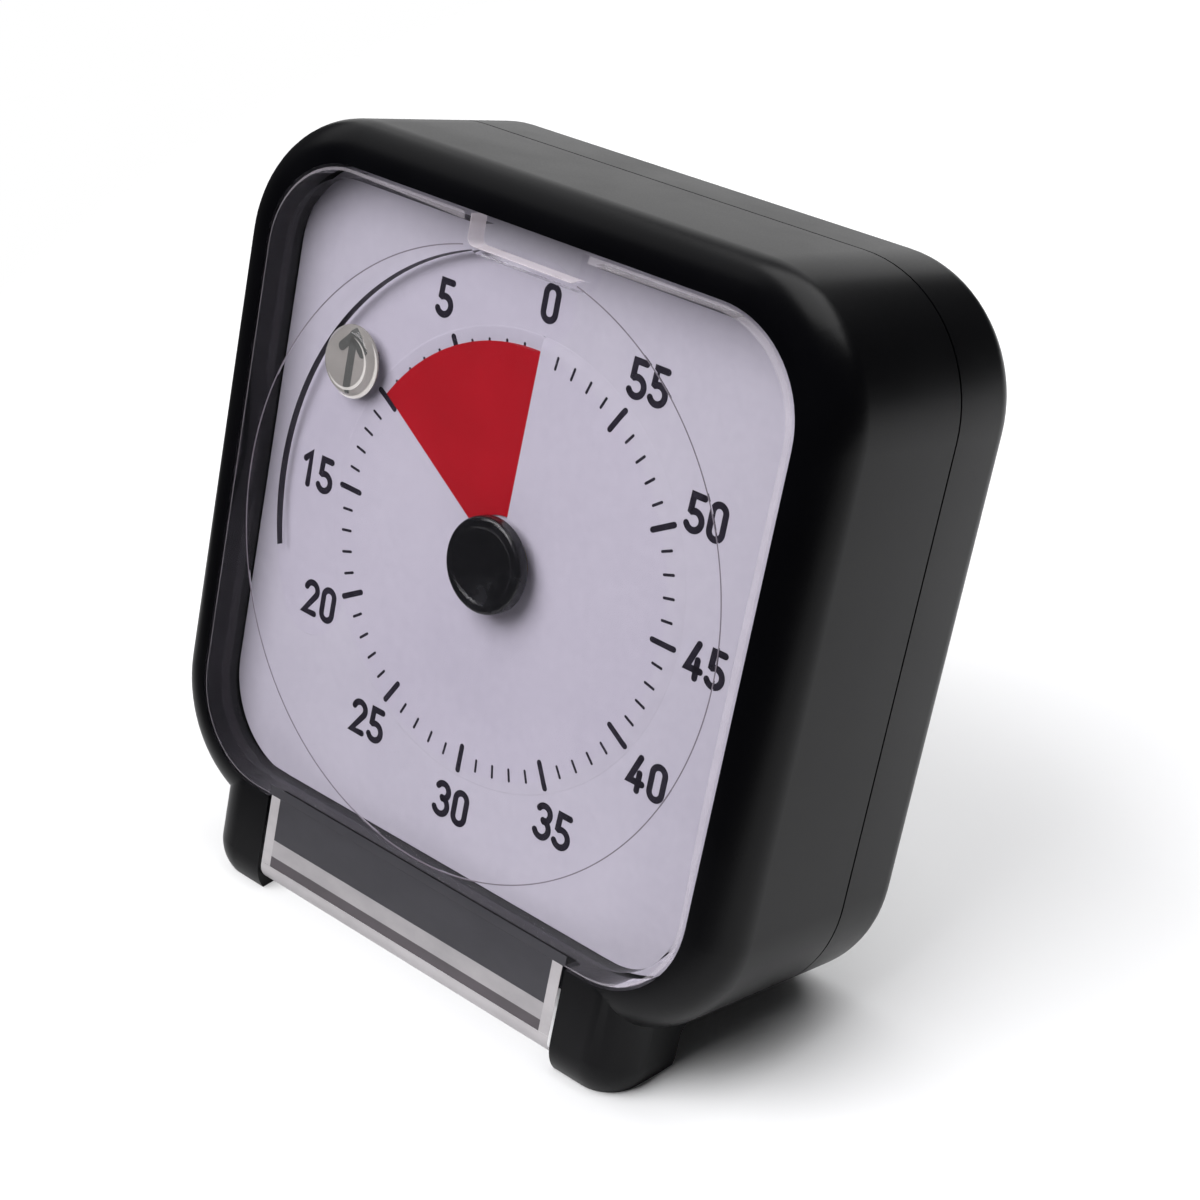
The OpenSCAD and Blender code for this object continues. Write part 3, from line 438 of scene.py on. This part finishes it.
def mouldedColour(name, colour, roughness):
    # plain moulded plastic with soft flow marks
    finish = Finish(name)
    flow = finish.span(finish.noise(130.0, 4.0, 0.6, (1, 1, 3)), 0.35, 0.7)
    finish.feed("Base Color", finish.blend(flow, deeper(colour, 0.86), colour))
    finish.feed("Roughness", flow * 0.1 + roughness)
    finish.bump(finish.noise(1800.0), 0.000006)
    return finish.material


def boardLacquer():
    # green lacquer over copper tracks that run between the cells of a net
    finish = Finish("boardLacquer")
    between = finish.span(finish.grains(260.0, "DISTANCE_TO_EDGE"), 0.02, 0.06)
    finish.feed("Base Color", finish.blend(between, colours["boardTrack"], colours["board"]))
    finish.feed("Roughness", between * 0.1 + 0.3)
    finish.bump(1 - between, 0.00002)
    return finish.material


def printedSleeve():
    # grey shrink film round the cell, with a copper-coloured band at one end and fine creases
    finish = Finish("cellSleeve")
    along = finish.node("ShaderNodeSeparateXYZ", {}, {0: finish.coordinates()}, "X")
    end = finish.span(along, skins["sleeveBandStart"], skins["sleeveBandFull"])
    creases = finish.noise(320.0, 4.0, 0.6, (1, 6, 6))
    finish.feed("Base Color", finish.blend(end, colours["sleeve"], colours["sleeveBand"]))
    finish.feed("Metallic", end * 0.7)
    finish.feed("Roughness", creases * 0.15 + 0.25)
    finish.bump(creases, 0.00002)
    return finish.material


print("materials")
caseBlack = mouldedBlack()
clearCover = clearPlastic("clearCover", skins["coverCoat"])
clearDisc = clearPlastic("clearDisc", skins["discCoat"])
dialCard = paleCard()
sheetRed = redFilm()
ink = printedInk()
hubBlack = glossyBlack("hubBlack", colours["hub"], skins["hubRoughness"])
chipBlack = glossyBlack("chipBlack", colours["chip"], skins["chipRoughness"])
movementBlue = mouldedColour("movementBlue", colours["movementPlate"], 0.4)
movementIvory = mouldedColour("movementIvory", colours["movementCase"], 0.4)
gearWhite = mouldedColour("gearWhite", colours["gear"], 0.35)
brass = turnedMetal("brass", colours["brass"], 0.2)
steel = turnedMetal("steel", colours["steel"], 0.23)
springSteel = turnedMetal("springSteel", colours["springSteel"], 0.17, (1, 4, 4))
boardGreen = boardLacquer()
cellSleeve = printedSleeve()

# the inner nodes keep their own meshes
nodeFinishes = {
    "disc_arbor": brass, "arbor_bush": brass, "centre_wheel": brass, "motor_pinion": brass,
    "clutch_spring": springSteel, "battery_spring": springSteel, "battery_contact": springSteel,
    "third_wheel": gearWhite, "third_arbor": steel, "stepper_motor": steel, "movement_screws": steel,
    "quartz_crystal": steel, "switch_body": steel, "housing_screws": steel,
    "movement_plate": movementBlue, "movement_case": movementIvory, "circuit_board": boardGreen,
    "control_chip": chipBlack, "capacitor": chipBlack, "buzzer": chipBlack, "switch_slider": chipBlack,
    "battery_cell": cellSleeve,
}
for nodeName, nodeFinish in nodeFinishes.items():
    nodeMesh = frame["nodes"][nodeName].data
    nodeMesh.materials.clear()
    nodeMesh.materials.append(nodeFinish)

# the dial's middle is a leaf that rises once round, so the red sheet can wind in front of it and behind it;
# the disc turns the sheet almost once round, so both are foils, a fraction of a micron apart at each end
dial = {
    "slitTurn": -1.1,       # degrees left of the top where the slit is
    "rise": 0.24,           # mm that the leaf climbs in one turn
    "startY": 0.10,         # mm behind the dial's face at the slit's left side
    "foil": 0.0005,         # thickness of the leaf and of the sheet
    "holeRadius": 3.8, "leafRadius": 21.6, "rampEnd": 23.0, "lap": 0.05, "lapDepth": 0.02,
    "halfWidth": 33.3, "halfHeight": 33.1, "cornerRadius": 10.1, "thickness": 1.2, "chamfer": 0.1,
}
sheet = {
    "innerRadius": 4.7, "outerRadius": 21.5,
    "setAngle": 58.8,       # degrees left of the slit where its leading edge is
    "step": 0.2382,         # mm that its leading edge lies in front of the slit's left side
}


def leafY(r, swept):
    # depth of the leaf's face: (start - rise * swept / 360),
    # eased to 0 between the leaf's edge and the ramp's end
    t = np.clip((r - dial["leafRadius"]) / (dial["rampEnd"] - dial["leafRadius"]), 0, 1)
    return (dial["startY"] - dial["rise"] * swept / 360) * (1 - t * t * (3 - 2 * t))


def makeDial():
    # the leaf on a grid of radius and angle, and round it a plate whose outline is squareReach(angle)
    d = dial
    swept = np.linspace(0, 360, 361)[:, None]
    reach = np.concatenate((np.linspace(d["holeRadius"], d["leafRadius"], 6),
                            np.linspace(d["leafRadius"], d["rampEnd"], 9)[1:]))[None, :]
    turn = swept + d["slitTurn"]
    front = polar(reach, turn, leafY(reach, swept))
    lip = polar(np.array([[d["rampEnd"] + d["lap"]]]), turn, d["lapDepth"])
    back = polar(reach[:, ::-1], turn, leafY(reach[:, ::-1], swept) + d["foil"])
    leaf = band(np.concatenate((front, lip, back), 1))
    turn = np.linspace(0, 360, 720, endpoint=False)[:, None]
    outer = squareReach(np.radians(turn + 90), d["halfWidth"], d["halfHeight"], d["cornerRadius"])
    inner = np.full_like(turn, d["rampEnd"])
    rim = [polar(r, turn, y) for r, y in (
        (inner, 0.0), (outer - d["chamfer"], 0.0), (outer, d["chamfer"]),
        (outer, d["thickness"]), (inner, d["thickness"]))]
    addPiece("dialFace", [leaf, band(np.concatenate(rim, 1), True)], "case", dialCard,
             ("dial_plate",))


def makeRedSheet():
    # its face is start - step + rise * behind / 360, where behind is the angle behind its leading edge
    behind = np.linspace(0, 360, 361)[:, None]
    reach = np.linspace(sheet["innerRadius"], sheet["outerRadius"], 8)[None, :]
    y = dial["startY"] - sheet["step"] + dial["rise"] * behind / 360
    turn = dial["slitTurn"] + sheet["setAngle"] - behind
    sides = polar(reach, turn, y), polar(reach[:, ::-1], turn, y + dial["foil"])
    addPiece("redSheet", [band(np.concatenate(sides, 1))], "disc", sheetRed, ("red_sheet",))


print("dial and red sheet")
makeDial()
makeRedSheet()

# print on the dial: the minute marks and twelve numbers
numbers = {
    "radius": 26.2, "height": 3.95, "width": 2.2, "stroke": 0.68, "step": 2.55,
    "belly": 0.86, "bowl": 0.9, "proud": 0.02, "sunk": 0.01,
}
marks = {
    "radius": 21.1, "minuteLength": 1.42, "minuteWidth": 0.29, "fiveLength": 3.18, "fiveWidth": 0.6,
    "leastWidth": 0.02,     # share of the width that is left at the tips
    "film": 0.0003, "proud": 0.02, "proudFrom": 21.52, "proudOver": 0.3, "proudReach": 1.3,
}


def digitStrokes():
    # centre lines of the digits; w and h are half the width and height between the outer centre lines
    w = (numbers["width"] - numbers["stroke"]) / 2
    h = (numbers["height"] - numbers["stroke"]) / 2
    belly, bowl = numbers["belly"], numbers["bowl"]
    line = lambda *points: np.array(points, float)
    join = lambda *paths: np.concatenate(paths)
    return {
        "0": [(join(arc(0, h - w, w, 0, 180, 20), arc(0, w - h, w, 180, 360, 20)), True)],
        "1": [(line((-0.55, 0.95), (0.2, h), (0.2, -h)), False)],
        "2": [(join(arc(0, h - belly, belly * 0.95, 165, -28), line((-w, -h), (w, -h))), False)],
        "3": [(arc(-0.04, h - 0.8, 0.8, 150, -82), False), (arc(-0.04, bowl - h, bowl, 88, -152), False)],
        "4": [(line((0.2, h), (-w, -0.85), (w + 0.08, -0.85)), False),
              (line((0.36, 0.1), (0.36, -h)), False)],
        "5": [(join(line((w * 0.92, h), (-w * 0.72, h), (-w * 0.8, 0.12)),
                    arc(-0.06, bowl - h, bowl, 118, -150)), False)],
    }


def makeNumbers():
    # every five minutes, upright, round the dial
    strokes = digitStrokes()
    parts = []
    for k in range(12):
        text = str(5 * k)
        turn = math.radians(30 * k + dial["slitTurn"])
        x0, z0 = -numbers["radius"] * math.sin(turn), numbers["radius"] * math.cos(turn)
        for column, digit in enumerate(text):
            shift = (column - (len(text) - 1) / 2) * numbers["step"]
            for path, closed in strokes[digit]:
                parts += ribbon(path + (x0 + shift, z0), closed, numbers["stroke"], -numbers["proud"],
                                numbers["sunk"])
    addPiece("dialNumbers", parts, "case", ink)


def makeMarks():
    # each mark is a thin bar with round ends that follows the leaf: |across| <= width / 2, eased at both
    # ends; it is only a film where the red sheet passes over it, and stands proud outside the sheet
    m = marks
    s = np.sin(np.linspace(-math.pi / 2, math.pi / 2, 15))
    outside = m["proudFrom"] + np.linspace(0, m["proudReach"], 14) - m["radius"]
    sunk = dial["foil"] / 2
    parts = []
    for minute in range(1, 60):
        kind = "minute" if minute % 5 else "five"
        length, width = m[kind + "Length"], m[kind + "Width"]
        along = np.unique(np.concatenate((s * length / 2, outside[outside < length / 2 - 0.02])))
        end = np.clip((np.abs(along) - (length - width) / 2) / (width / 2), 0, 1)
        across = np.maximum(np.sqrt(1 - end ** 2), m["leastWidth"]) * width / 2
        r = m["radius"] + along
        proud = m["film"] + m["proud"] * np.clip((r - m["proudFrom"]) / m["proudOver"], 0, 1)
        edges = []
        for side, lift in ((1, -proud), (-1, -proud), (-1, sunk), (1, sunk)):
            swept = 6 * minute + np.degrees(side * across / r)
            edges.append(polar(r, swept + dial["slitTurn"], leafY(r, swept) + lift))
        parts.append(strip(edges))
    addPiece("dialMarks", parts, "case", ink)


print("dial print")
makeNumbers()
makeMarks()

# the clear disc with its arm, the button on the arm, and the hub
arm = {
    "turn": 58.4,           # degrees left of the top
    "sweep": 117.0,         # degrees between the centres of its round ends
    "innerRadius": 21.6, "outerRadius": 30.2, "frontY": -1.3, "backY": -0.5, "edge": 0.16,
    "flat": 0.8,            # share of the half width over which it thins out
    "leastWidth": 0.02,     # mm of half width left at the tips
    "webBackY": -0.95, "webFlat": 17.5, "webTip": 0.03, "webGap": 0.02, "webBend": 20.0, "webEdge": 0.01,
    "boreRadius": 1.5,
}
# the arm's edge line is painted shade, a dark strip on the clear arm's outer edge
armShadeLine = {"start": 12.0, "end": 106.0, "width": 0.16, "fade": 10.0, "proud": 0.02, "top": 0.05, "lip": 0.3}
knob = {
    "turn": 58.4, "place": 26.2, "radius": 3.68, "topRadius": 3.05, "baseY": -1.3, "topY": -2.3,
    "footDepth": 0.3, "crown": 0.04, "bends": [0.1, 0.5, 0.5],
    "labelRadius": 3.5, "labelThickness": 0.06,
    "arrowLength": 5.2, "arrowWidth": 1.0, "barb": 2.0, "arrowFront": 0.09, "arrowBack": 0.05,
    # each gleam's radius, width, depth and the angles that it runs between
    "gleams": ((2.72, 0.34, -2.4, -140, 75), (3.62, 0.5, -1.75, -105, 45)), "gleamThickness": 0.03,
}
hub = {
    "radius": 4.85, "baseY": -1.3, "topY": -2.6, "pit": 0.12, "pitRadius": 3.9, "pitSlope": 0.3,
    "bends": [0.05, 0.45, 0.1, 0.1],
}
knobTurn = math.radians(knob["turn"])
knobCentre = (-knob["place"] * math.sin(knobTurn), knob["place"] * math.cos(knobTurn))


def makeSettingDisc():
    # arm: across = a, along = s on the circle midway, r = middle + a(s), turn = turn + s / middle;
    # its half width is w in the middle and sqrt(w^2 - e^2) where s runs e past the sweep;
    # it thins out inwards
    a = arm
    middle, half = (a["innerRadius"] + a["outerRadius"]) / 2, (a["outerRadius"] - a["innerRadius"]) / 2
    straight = math.radians(a["sweep"] / 2) * middle
    tip = half * np.sin(np.linspace(0, math.pi / 2, 16)[1:])
    along = np.concatenate((-straight - tip[::-1], np.linspace(-straight, straight, 118), straight + tip))
    past = np.clip(np.abs(along) - straight, 0, half)
    width = np.maximum(np.sqrt(half ** 2 - past ** 2), a["leastWidth"])[:, None]
    corner = np.radians(np.linspace(0, 90, 5))[None, :]
    outward = 1 - a["edge"] / half * (1 - np.sin(corner))
    sink = a["edge"] * (1 - np.cos(corner))
    inward = np.linspace(a["flat"], -a["flat"], 5)[None, :]
    feather = (1 - inward) / 2
    thinFront, thinBack = a["webBackY"] - a["webTip"], a["webBackY"]
    across = width * np.concatenate((inward[:, ::-1], outward, outward[:, ::-1], inward, [[-1.0, -1.0]]), 1)
    front = a["frontY"] + (thinFront - a["frontY"]) * feather
    back = a["backY"] + (thinBack - a["backY"]) * feather
    depth = np.concatenate((front[:, ::-1], a["frontY"] + sink, a["backY"] - sink[:, ::-1], back,
                            [[thinBack, thinFront]]), 1)
    thin = np.where(depth < (a["frontY"] + a["backY"]) / 2, thinFront, thinBack)
    depth = thin + (depth - thin) * (1 - past / half)[:, None]
    turn = a["turn"] + np.degrees(along / middle)[:, None]
    # the web: a thin clear disc whose rim thins out
    rim = a["innerRadius"] - a["webGap"]
    profile = [(a["boreRadius"], a["frontY"]), (a["webFlat"], a["frontY"]), (rim, thinFront), (rim, thinBack),
               (a["boreRadius"], thinBack), (a["boreRadius"], a["frontY"])]
    bends = [a["webBend"]] + [a["webEdge"]] * 3
    parts = [band(polar(middle + across, turn, depth)),
             lathe(rounded(profile, bends, 8)[:-1], steps=160, ring=True)]
    return addPiece("settingDisc", parts, "disc", clearDisc, ("setting_disc",))


def makeArmShadeLine():
    # painted shade: a dark narrow strip along r = outerRadius, where the clear arm's outer edge shows dark,
    # that thins out at both ends
    e = armShadeLine
    turn = np.linspace(e["start"], e["end"], 120)[:, None]
    near = np.minimum(turn - e["start"], e["end"] - turn)
    width = e["width"] * np.clip(near / e["fade"], 0.05, 1)
    outer, inner = arm["outerRadius"] + e["proud"] * width, arm["outerRadius"] + (e["proud"] - 1) * width
    edges = [polar(r, turn, y) for r, y in (
        (outer, arm["frontY"] + e["top"]), (outer, arm["backY"]),
        (inner, arm["backY"]), (inner, arm["backY"] - e["lip"]))]
    addPiece("armShadeLine", [strip(edges)], "disc", edgeShade)


def makeKnob():
    # a low cone with rounded edges and a slightly raised crown, turned about its own centre
    k = knob
    profile = rounded([(0, k["baseY"]), (k["radius"], k["baseY"]), (k["radius"], k["baseY"] - k["footDepth"]),
                       (k["topRadius"], k["topY"]), (0, k["topY"] - k["crown"])], k["bends"], 8)
    return addPiece("settingButton", [lathe(profile, knobCentre)], "disc", buttonClear,
                    ("setting_knob",))


def makeLabel():
    # the pale label under the button: a thin round plate
    back = knob["baseY"]
    front, radius = back - knob["labelThickness"], knob["labelRadius"]
    profile = [(0, front), (radius, front), (radius, back), (0, back)]
    addPiece("buttonLabel", [lathe(profile, knobCentre)], "disc", labelGrey)


def makeArrow():
    # a plain arrow that points up, printed on the label
    k = knob
    half, tip = k["arrowLength"] / 2, k["barb"] / math.sqrt(2)
    shaft = np.array([(0, -half), (0, half - k["arrowWidth"] / 2)])
    head = np.array([(-tip, half - tip), (0, half), (tip, half - tip)])
    parts = []
    for path in (shaft, head):
        parts += ribbon(path + knobCentre, False, k["arrowWidth"], k["baseY"] - k["arrowFront"],
                        k["baseY"] - k["arrowBack"])
    addPiece("buttonArrow", parts, "disc", greyPrint)


def makeGleams():
    # two painted highlights: bright arcs that glow faintly where the button's round edges take the light:
    # |r - radius| <= width / 2 * sin(pi * t), along t from one end to the other
    parts = []
    for radius, width, front, start, end in knob["gleams"]:
        t = np.linspace(0, 1, 48)[:, None]
        half = width / 2 * np.maximum(np.sin(math.pi * t), 0.04)
        angle = np.radians(start + (end - start) * t)
        back = front + knob["gleamThickness"]
        edges = [np.stack(np.broadcast_arrays(knobCentre[0] + (radius + side * half) * np.cos(angle), y,
                                              knobCentre[1] + (radius + side * half) * np.sin(angle)), -1)
                 for side, y in ((-1, front), (1, front), (1, back), (-1, back))]
        parts.append(strip(edges))
    return addPiece("buttonGleam", parts, "disc", buttonGleam)


def makeHub():
    # a round cap with a shallow pit in its top
    h = hub
    pitY = h["topY"] + h["pit"]
    profile = rounded([(0, h["baseY"]), (h["radius"], h["baseY"]), (h["radius"], h["topY"]),
                       (h["pitRadius"], h["topY"]), (h["pitRadius"] - h["pitSlope"], pitY), (0, pitY)],
                      h["bends"], 6)
    addPiece("hubCap", [lathe(profile)], "disc", hubBlack, ("hub_cap",))


print("disc, button and hub")
greyPrint = glossyBlack("greyPrint", colours["arrow"], 0.35)
labelGrey = frosted("labelGrey", colours["label"], 1.0)
# painted highlight that glows faintly: the button's gleams
buttonGleam = frosted("buttonGleam", colours["gleam"], 0.32, 0.2)
buttonClear = milkyButton()
# painted shade for the clear arm's outer edge
edgeShade = glossyBlack("edgeShade", colours["armShadeLine"], 0.3)
settingDisc = makeSettingDisc()
makeArmShadeLine()
settingButton = makeKnob()
makeLabel()
buttonGleams = makeGleams()
makeArrow()
makeHub()

print("shells and cover")
softenedCopy("front_shell", "frontShell", "case", caseBlack, making["frontSoft"])
softenedCopy("back_shell", "backShell", "case", caseBlack, making["backSoft"])
softenedCopy("battery_door", "batteryDoor", "door", caseBlack, making["doorSoft"])
coverPane = softenedCopy("clear_cover", "coverPane", "cover", clearCover,
                         making["coverSoft"])

# the cover's edges: where the clear moulding is thick it shows pale, and grey at its tab; these are painted
# highlights and painted shade, laid on as thin films
cover = {
    "frontY": -4.83, "proud": 0.02, "sunk": 0.01,
    "halfWidth": 33.15, "halfHeight": 32.95, "cornerRadius": 9.95,
    "lineInset": 0.02, "lineGap": 0.9, "lineWidth": 0.07, "lineWiden": 0.7,
    "lineLean": (0.75, 0.65),               # the way that the wide part of the edge line faces: left, up
    "notchHalf": 7.0, "notchFloor": 29.95, "notchRadius": 0.8, "notchDepth": 2.2,
    "lining": 0.05, "liningInset": 0.02,
    "ringRadius": 30.8, "ringWidth": 0.12, "ringLift": 0.2, "ringGap": 0.2,
}
tab = {
    "half": 20.7, "border": 1.3, "lipHalf": 21.0, "lap": 0.05, "lipStep": 0.01,
    "lipTop": -31.9, "top": -33.0, "greyEnd": -37.7, "lightEnd": -39.55, "darkEnd": -40.75,
    "barrelY": -2.83, "barrelZ": -41.0, "barrelRadius": 2.0, "barrelStart": -6, "barrelEnd": 84,
}
coverFront, coverBack = cover["frontY"] - cover["proud"], cover["frontY"] + cover["sunk"]


def makeEdgeLine():
    # painted highlight along the cover's outline, r = reach(a): a pale line, wider where the outline faces
    # the light, open at the notch
    c = cover
    gap = math.degrees(math.atan2(c["notchHalf"] + c["lineGap"], c["halfHeight"]))
    turn = np.linspace(gap, 360 - gap, 420)[:, None]
    angle = np.radians(turn)
    reach = squareReach(angle + math.pi / 2, c["halfWidth"], c["halfHeight"], c["cornerRadius"])
    outer = reach - c["lineInset"]
    facing = -np.sin(angle) * c["lineLean"][0] + np.cos(angle) * c["lineLean"][1]
    width = c["lineWidth"] + c["lineWiden"] * np.clip(facing * 1.5 + 0.3, 0, 1)
    line = ringStrip(turn, outer, outer - width, coverFront, coverBack)
    return addPiece("coverLine", [line], "cover", coverEdgeHighlight)


def makeNotchLining():
    # painted highlight: a thin pale skin that glows faintly, on the notch's left wall and on its floor, which
    # take the light
    c = cover
    half, floor = c["notchHalf"] - c["lining"] / 2, c["notchFloor"] + c["lining"] / 2
    path = rounded([(-half, c["halfHeight"]), (-half, floor), (half - c["notchRadius"], floor)],
                   [c["notchRadius"]], 8)
    front, back = c["frontY"] + c["liningInset"], c["frontY"] + c["notchDepth"]
    skin = ribbon(path, False, c["lining"], front, back)[:1]
    return addPiece("notchLining", skin, "cover", notchHighlight)


def makeFieldLine():
    # painted shade: a grey line standing for the dark edge of the round step in the pane, r = ringRadius +-
    # width / 2, open at the notch
    c = cover
    gap = math.degrees(math.asin((c["notchHalf"] + c["ringGap"]) / c["ringRadius"]))
    turn = np.linspace(gap, 360 - gap, 300)[:, None]
    line = ringStrip(turn, c["ringRadius"] + c["ringWidth"] / 2, c["ringRadius"] - c["ringWidth"] / 2,
                     coverFront - c["ringLift"], coverBack - c["ringLift"])
    return addPiece("fieldLine", [line], "cover", stepEdgeShade)


def makeTabPlates():
    # painted light on the tab, as flat plates on its face and a skin round the barrel's front: the pale
    # borders, the skin and the light band are painted highlights, the grey plate with its lip and the dark
    # band are painted shade; the skin is y = by - r cos a, z = bz - r sin a
    t = tab
    inner = t["half"] - t["border"]
    borders = [plate(side * t["half"], side * inner, t["top"], t["darkEnd"], coverFront, coverBack)
               for side in (-1, 1)]
    angle = np.radians(np.linspace(t["barrelStart"], t["barrelEnd"], 16))
    outline = np.concatenate([np.stack((t["barrelY"] - r * np.cos(a), t["barrelZ"] - r * np.sin(a)), -1)
                              for r, a in ((t["barrelRadius"] + cover["proud"], angle),
                                           (t["barrelRadius"] - cover["sunk"], angle[::-1]))])
    skin = np.stack([np.column_stack((np.full(len(outline), x), outline)) for x in (-t["half"], t["half"])])
    light = plate(-inner, inner, t["greyEnd"], t["lightEnd"], coverFront, coverBack)
    grey = plate(-inner, inner, t["top"], t["greyEnd"], coverFront, coverBack)
    lip = plate(-t["lipHalf"], t["lipHalf"], t["lipTop"], t["top"] + t["lap"], coverFront - t["lipStep"],
                coverBack + t["lipStep"])
    dark = plate(-inner, inner, t["lightEnd"], t["darkEnd"], coverFront, coverBack)
    return [addPiece(name, parts, "cover", finish) for name, parts, finish in (
        ("tabFrame", borders + [band(skin)], tabEdgeHighlight), ("tabHighlightBand", [light], tabHighlightBand),
        ("tabShadePlate", [grey, lip], tabShadePlate), ("tabShadeBand", [dark], tabShadeBand))]


print("cover edges")
# painted highlight: the pale line round the cover's edge
coverEdgeHighlight = frosted("coverEdgeHighlight", colours["coverLine"], 0.13)
# painted highlight that glows: the notch lining
notchHighlight = frosted("notchHighlight", colours["notch"], 0.42, 0.2)
# painted shade: the line at the edge of the pane's round step
stepEdgeShade = frosted("stepEdgeShade", colours["fieldLine"], 0.85)
# painted highlights and painted shade on the tab: borders, light band, grey plate and dark band
tabEdgeHighlight = frosted("tabEdgeHighlight", colours["tabFrame"], 0.85)
tabHighlightBand = frosted("tabHighlightBand", colours["tabHighlightBand"], 0.85)
tabShadePlate = frosted("tabShadePlate", colours["tabShadePlate"], 0.93)
tabShadeBand = frosted("tabShadeBand", colours["tabShadeBand"], 0.9)
coverTrim = [makeEdgeLine(), makeNotchLining(), makeFieldLine()] + makeTabPlates()

# clear pieces, and the painted highlights and painted shade laid on them, throw no shadow on the dial
for glass in [settingDisc, settingButton, buttonGleams, coverPane] + coverTrim:
    glass.visible_shadow = False
    glass.visible_diffuse = False

# floor, lamps and camera: the studio is in metres in the frame, the view in the case's own millimetres
studio = {
    "floorCentre": (0.16, 0.24), "floorSolid": 0.30, "floorEnd": 0.38,
    "floorColour": (250, 250, 251), "floorCloud": (246, 246, 248),
    "backdropStrength": 1.0, "roomStrength": 0.045,
    "keyPlace": (-0.13, -0.28, 0.42), "keyAim": (0.0, 0.0, 0.04), "keySize": 0.42, "keyPower": 3.2,
    "topPlace": (0.06, 0.26, 0.5), "topAim": (0.02, 0.2, 0.0), "topSize": 0.5, "topPower": 2.55,
    "cardPlace": (-0.36, 0.52, 0.18), "cardAim": (0.0, 0.0, 0.08), "cardSize": 0.5, "cardPower": 0.6,
    "skyPlace": (-0.36, 0.08, 0.46), "skyAim": (0.0, 0.0, 0.08), "skySize": 0.52, "skyPower": 0.55,
}
view = {
    "centre": (145.53, -175.28, 76.33),
    "right": (0.74359, 0.64247, 0.18521),
    "forward": (-0.57082, 0.75422, -0.32453),
    "lens": 74.13, "sensor": 36, "clipStart": 0.005,
}


def makeFloor():
    # a round table top, x = cx + r cos a and y = cy + r sin a, that fades into the backdrop near its rim
    cx, cy = studio["floorCentre"]
    angle = np.linspace(0, 2 * math.pi, 96, endpoint=False)
    reach = studio["floorEnd"]
    rim = np.stack((cx + reach * np.cos(angle), cy + reach * np.sin(angle), 0 * angle), -1)
    mesh = bpy.data.meshes.new("floor")
    mesh.from_pydata(rim.tolist(), [], [tuple(range(len(rim)))])
    floor = bpy.data.objects.new("floor", mesh)
    bpy.context.scene.collection.objects.link(floor)
    finish = Finish("floorPaint", Specular_IOR_Level=0.2)
    cloud = finish.noise(9.0)
    finish.feed("Base Color", finish.blend(cloud, studio["floorColour"], studio["floorCloud"]))
    finish.feed("Roughness", cloud * 0.1 + 0.6)
    away = finish.node("ShaderNodeVectorMath", {"operation": "DISTANCE"},
                       {0: finish.coordinates(), 1: (cx, cy, 0)}, "Value")
    finish.feed("Alpha", 1 - finish.span(away, studio["floorSolid"], studio["floorEnd"]))
    mesh.materials.append(finish.material)


def addPanel(name, where, aim, size, power):
    # a square lamp that looks at aim and isn't seen itself
    data = bpy.data.lights.new(name, "AREA")
    data.shape = "SQUARE"
    data.size = size
    data.energy = power
    lamp = bpy.data.objects.new(name, data)
    bpy.context.scene.collection.objects.link(lamp)
    lamp.location = where
    lamp.visible_camera = False
    forward = np.array(aim, float) - np.array(where)
    forward = forward / np.linalg.norm(forward)
    side = np.cross(forward, (0, 0, 1))
    side = side / np.linalg.norm(side)
    turn = np.stack((side, np.cross(side, forward), -forward), 1)
    lamp.rotation_euler = Matrix(turn.tolist()).to_euler()
    return lamp


def setRoom():
    # the backdrop is white to look at, and the dim room is what surfaces mirror and are lit by
    world = bpy.data.worlds.new("studioRoom")
    bpy.context.scene.world = world
    world.use_nodes = True
    tree = world.node_tree
    backdrop = tree.nodes["Background"]
    room = tree.nodes.new("ShaderNodeBackground")
    for background, strength in ((backdrop, studio["backdropStrength"]), (room, studio["roomStrength"])):
        background.inputs["Color"].default_value = (1.0, 1.0, 1.0, 1.0)
        background.inputs["Strength"].default_value = strength
    path, mix = tree.nodes.new("ShaderNodeLightPath"), tree.nodes.new("ShaderNodeMixShader")
    either = tree.nodes.new("ShaderNodeMath")
    either.operation = "MAXIMUM"
    tree.links.new(path.outputs["Is Glossy Ray"], either.inputs[0])
    tree.links.new(path.outputs["Is Diffuse Ray"], either.inputs[1])
    tree.links.new(either.outputs[0], mix.inputs[0])
    tree.links.new(backdrop.outputs[0], mix.inputs[1])
    tree.links.new(room.outputs[0], mix.inputs[2])
    tree.links.new(mix.outputs[0], tree.nodes["World Output"].inputs["Surface"])


def setCamera():
    data = bpy.data.cameras.new("camera")
    data.lens = view["lens"]
    data.sensor_width = view["sensor"]
    data.clip_start = view["clipStart"]
    camera = bpy.data.objects.new("camera", data)
    bpy.context.scene.collection.objects.link(camera)
    forward = np.array(view["forward"]) @ caseAxes
    right = np.array(view["right"]) @ caseAxes
    up = np.cross(right, forward)
    turn = np.stack((right, up / np.linalg.norm(up), -forward), 1)
    where = Matrix.Translation(place(view["centre"]).tolist())
    camera.matrix_world = where @ Matrix(turn.tolist()).to_4x4()
    bpy.context.scene.camera = camera


print("studio")
makeFloor()
for panel in ("key", "top", "card", "sky"):
    lamp = addPanel(panel + "Panel", *(studio[panel + part] for part in ("Place", "Aim", "Size", "Power")))
    lamp.visible_glossy = panel != "key"
setRoom()
bpy.context.scene.view_settings.view_transform = "Standard"
setCamera()
